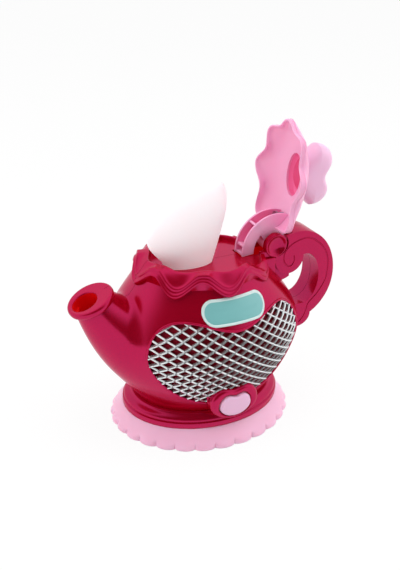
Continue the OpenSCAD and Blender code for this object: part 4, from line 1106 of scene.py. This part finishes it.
def plaque():
    """A pale border and a coloured field, both bent to the belly."""
    low, high = node_box("plaque")
    r = (high[2] - low[2]) / 2
    middle = np.array([(low[0] + high[0]) / 2, (low[2] + high[2]) / 2])
    straight = (high[0] - low[0]) / 2 - r
    f = np.linspace(-np.pi / 2, np.pi / 2, 40)
    edge = np.linspace(straight, -straight, 40)[1:-1]

    def outline(inset):
        k = r - inset
        right = np.column_stack([straight + k * np.cos(f), k * np.sin(f)])
        top = np.column_stack([edge, np.full(len(edge), k)])
        return middle + np.vstack([right, top, -right, -top])

    def pill(name, rows):
        return make(name, *skin([belly_front(*outline(inset).T, -lift) for inset, lift in rows]))

    border_rows = [(0, -0.6), (0, 0.35), (0.25, 0.6), (0.6, 0.7), (1.3, 0.7), (1.6, 0.45), (2.0, -0.6)]
    field_rows = [(1.5, -0.5), (1.5, 0.4), (1.8, 0.5), (4.0, 0.55), (6.0, 0.57), (r - 0.05, 0.58)]
    return pill("border", border_rows), pill("field", field_rows)


def bezel():
    """The button's frame: a round-edged heart with a heart-shaped well."""
    y = -BEZEL_Y
    face_rows = [(0, y + 7), (0, y + 3), (-0.4, y + 1.5), (-1.4, y + 0.45), (-3.0, y)]
    well_rows = [
        (1.6, y + 0.05), (0.9, y + 0.5), (0.45, y + 1.3), (0.4, y + 6), (2.2, y + 6.1), (2.2, y + 12)
    ]
    rings = heart_rows([(0, y + 12), (0, y + 8)], **BEZEL)
    rings += heart_rows(face_rows, **BEZEL_FACE) + heart_rows(well_rows, **BUTTON)
    return make("bezel", *skin(rings, wrap=True))


def button():
    """The domed heart, its flange behind the bezel and its stem."""
    y = -BEZEL_Y
    rows = [
        (1.8, y + 8.1), (1.8, y + 6.4), (0, y + 6.3), (0, y + 0.6), (-0.25, y - 0.2),
        (-0.8, y - 0.8), (-1.8, y - 1.15), (-4, y - 1.35), (-8, y - 1.4),
    ]
    obj = make("button", *skin(heart_rows(rows, **BUTTON)))
    stem_end = node_box("heart_button")[1][1]
    stem_start = (0, y + STEM_IN, BUTTON["z0"] + STEM_UP * BUTTON["h"])
    stem = rod("stem", stem_start, Y_AXIS, STEM_R, stem_end - y - STEM_IN)
    return joined("button", [obj, stem])


dress(lattice(), "grille_bars", "metallised_plastic", "pot", ["grille"])
border, field = plaque()
dress(border, "plaque_border", "plaque_border", "pot", ["plaque"])
dress(field, "plaque_field", "teal_plastic", "pot", ["plaque"])
dress(bezel(), "button_bezel_skin", "crimson_plastic", "pot", ["button_bezel"])
dress(button(), "heart_button_skin", "lilac_plastic", "button_body", ["heart_button"])

bpy.data.objects.remove(SOLID_BODY)


# Stage, in metres

FLOOR_HALF = 3.0
FLOOR_SHARE, FLOOR_GLOW, FLOOR_GREY, FLOOR_ROUGH = 0.88, 1.02, 0.8, 0.9
WHITE = (1, 1, 1, 1)
# The tent's strength falls from 1 to nearly nothing towards its aim
TENT_FADE = {"From Min": 0.1, "From Max": 0.85, "To Min": 1.0, "To Max": 0.03}
TENT_AIM = Vector((-0.45, -0.86, 0.25)).normalized()
TARGET = Vector((-0.00298, 0, 0.0976))
# Place, size and power
LAMPS = {
    "left": ((-1.1, -0.3, 0.6), (1.0, 1.0), 6),
    "top": ((0.0, -0.2, 1.2), (1.2, 1.0), 6),
    "front": ((-0.6, -1.0, 0.7), (1.0, 1.0), 1),
    "right": ((1.1, -0.5, 0.5), (1.0, 1.0), 5),
}
AZIMUTH, ELEVATION, ROLL = math.radians(-28), math.radians(26.65), math.radians(2)
DISTANCE, FOCAL_PX, LONG_PX, SENSOR = 0.5951, 878.9, 570, 36.0
CLIP = (0.01, 20)


def sums(tree, operation, a, b):
    """A clamped sum or product of an output and another output or a number."""
    node = new_node(tree, "Math")
    node.operation = operation
    node.use_clamp = True
    tree.links.new(a, node.inputs[0])
    if isinstance(b, float):
        node.inputs[1].default_value = b
    else:
        tree.links.new(b, node.inputs[1])
    return node.outputs["Value"]


def ray_kinds(tree):
    """Outputs that tell rays from the camera, and rays that are mirrored or pass through."""
    path = new_node(tree, "LightPath")
    mirrored = sums(tree, "ADD", path.outputs["Is Glossy Ray"], path.outputs["Is Transmission Ray"])
    return path.outputs["Is Camera Ray"], mirrored


def show_mix(tree, share, first, second, output):
    """Shows a mix of two shaders, with the second one's share."""
    node = new_node(tree, "MixShader")
    links(
        tree,
        (share, node.inputs["Fac"]),
        (first, node.inputs[1]),
        (second, node.inputs[2]),
        (node.outputs["Shader"], tree.nodes[output].inputs["Surface"]),
    )


def floor_white():
    """Pale card whose look to the camera is mostly plain white, so that a soft shadow stays."""
    material, tree, shader = new_material("floor_white")
    fill(shader, {"Base Color": (FLOOR_GREY, FLOOR_GREY, FLOOR_GREY, 1), "Roughness": FLOOR_ROUGH})
    glow = new_node(tree, "Emission", {"Strength": FLOOR_GLOW})
    camera_ray, mirrored = ray_kinds(tree)
    seen = sums(tree, "MULTIPLY", camera_ray, FLOOR_SHARE)
    share = sums(tree, "ADD", seen, mirrored)
    show_mix(tree, share, shader.outputs["BSDF"], glow.outputs["Emission"], "Material Output")
    return material


def studio():
    """A white backdrop for the camera, and a tent of light that is dark towards the front."""
    world = bpy.data.worlds.new("studio")
    bpy.context.scene.world = world
    world.use_nodes = True
    tree = world.node_tree
    tent = tree.nodes["Background"]
    fill(tent, {"Color": WHITE})
    backdrop = new_node(tree, "Background", {"Color": WHITE, "Strength": 1.0})
    way = new_node(tree, "TexCoord")
    front = new_node(tree, "VectorMath")
    front.operation = "DOT_PRODUCT"
    front.inputs[1].default_value = TENT_AIM
    fade = new_node(tree, "MapRange", TENT_FADE)
    fade.interpolation_type = "SMOOTHSTEP"
    links(
        tree,
        (way.outputs["Generated"], front.inputs[0]),
        (front.outputs["Value"], fade.inputs["Value"]),
        (fade.outputs["Result"], tent.inputs["Strength"]),
    )
    camera_ray, mirrored = ray_kinds(tree)
    beside = sums(tree, "MULTIPLY", mirrored, fade.outputs["Result"])
    share = sums(tree, "ADD", camera_ray, beside)
    show_mix(tree, share, tent.outputs["Background"], backdrop.outputs["Background"], "World Output")


def lamp(name, spot, size, power):
    """A soft lamp aimed at the object, left out of its reflections."""
    light = bpy.data.lights.new(name, "AREA")
    light.shape = "RECTANGLE"
    light.size, light.size_y = size
    light.energy = power
    obj = new_object(name, light)
    obj.location = spot
    obj.rotation_euler = (TARGET - Vector(spot)).to_track_quat("-Z", "Y").to_euler()
    obj.visible_glossy = False


def photo_camera():
    """The camera at the photograph's viewing angle."""
    view = Vector((
        math.sin(AZIMUTH) * math.cos(ELEVATION),
        -math.cos(AZIMUTH) * math.cos(ELEVATION),
        math.sin(ELEVATION),
    ))
    camera = new_object("camera", bpy.data.cameras.new("camera"))
    camera.location = TARGET + DISTANCE * view
    turn = (-view).to_track_quat("-Z", "Y").to_matrix() @ Matrix.Rotation(ROLL, 3, "Z")
    camera.rotation_euler = turn.to_euler()
    camera.data.sensor_width = SENSOR
    camera.data.lens = FOCAL_PX / LONG_PX * SENSOR
    camera.data.clip_start, camera.data.clip_end = CLIP
    return camera


reach = FLOOR_HALF / MM
corners = [[-reach, -reach, 0], [reach, -reach, 0], [reach, reach, 0], [-reach, reach, 0]]
floor = make("floor", corners, [[0, 1, 2, 3]])
floor.data.materials.append(floor_white())
studio()
for name, (spot, size, power) in LAMPS.items():
    lamp(name, spot, size, power)
bpy.context.scene.camera = photo_camera()
bpy.context.scene.view_settings.view_transform = "Standard"
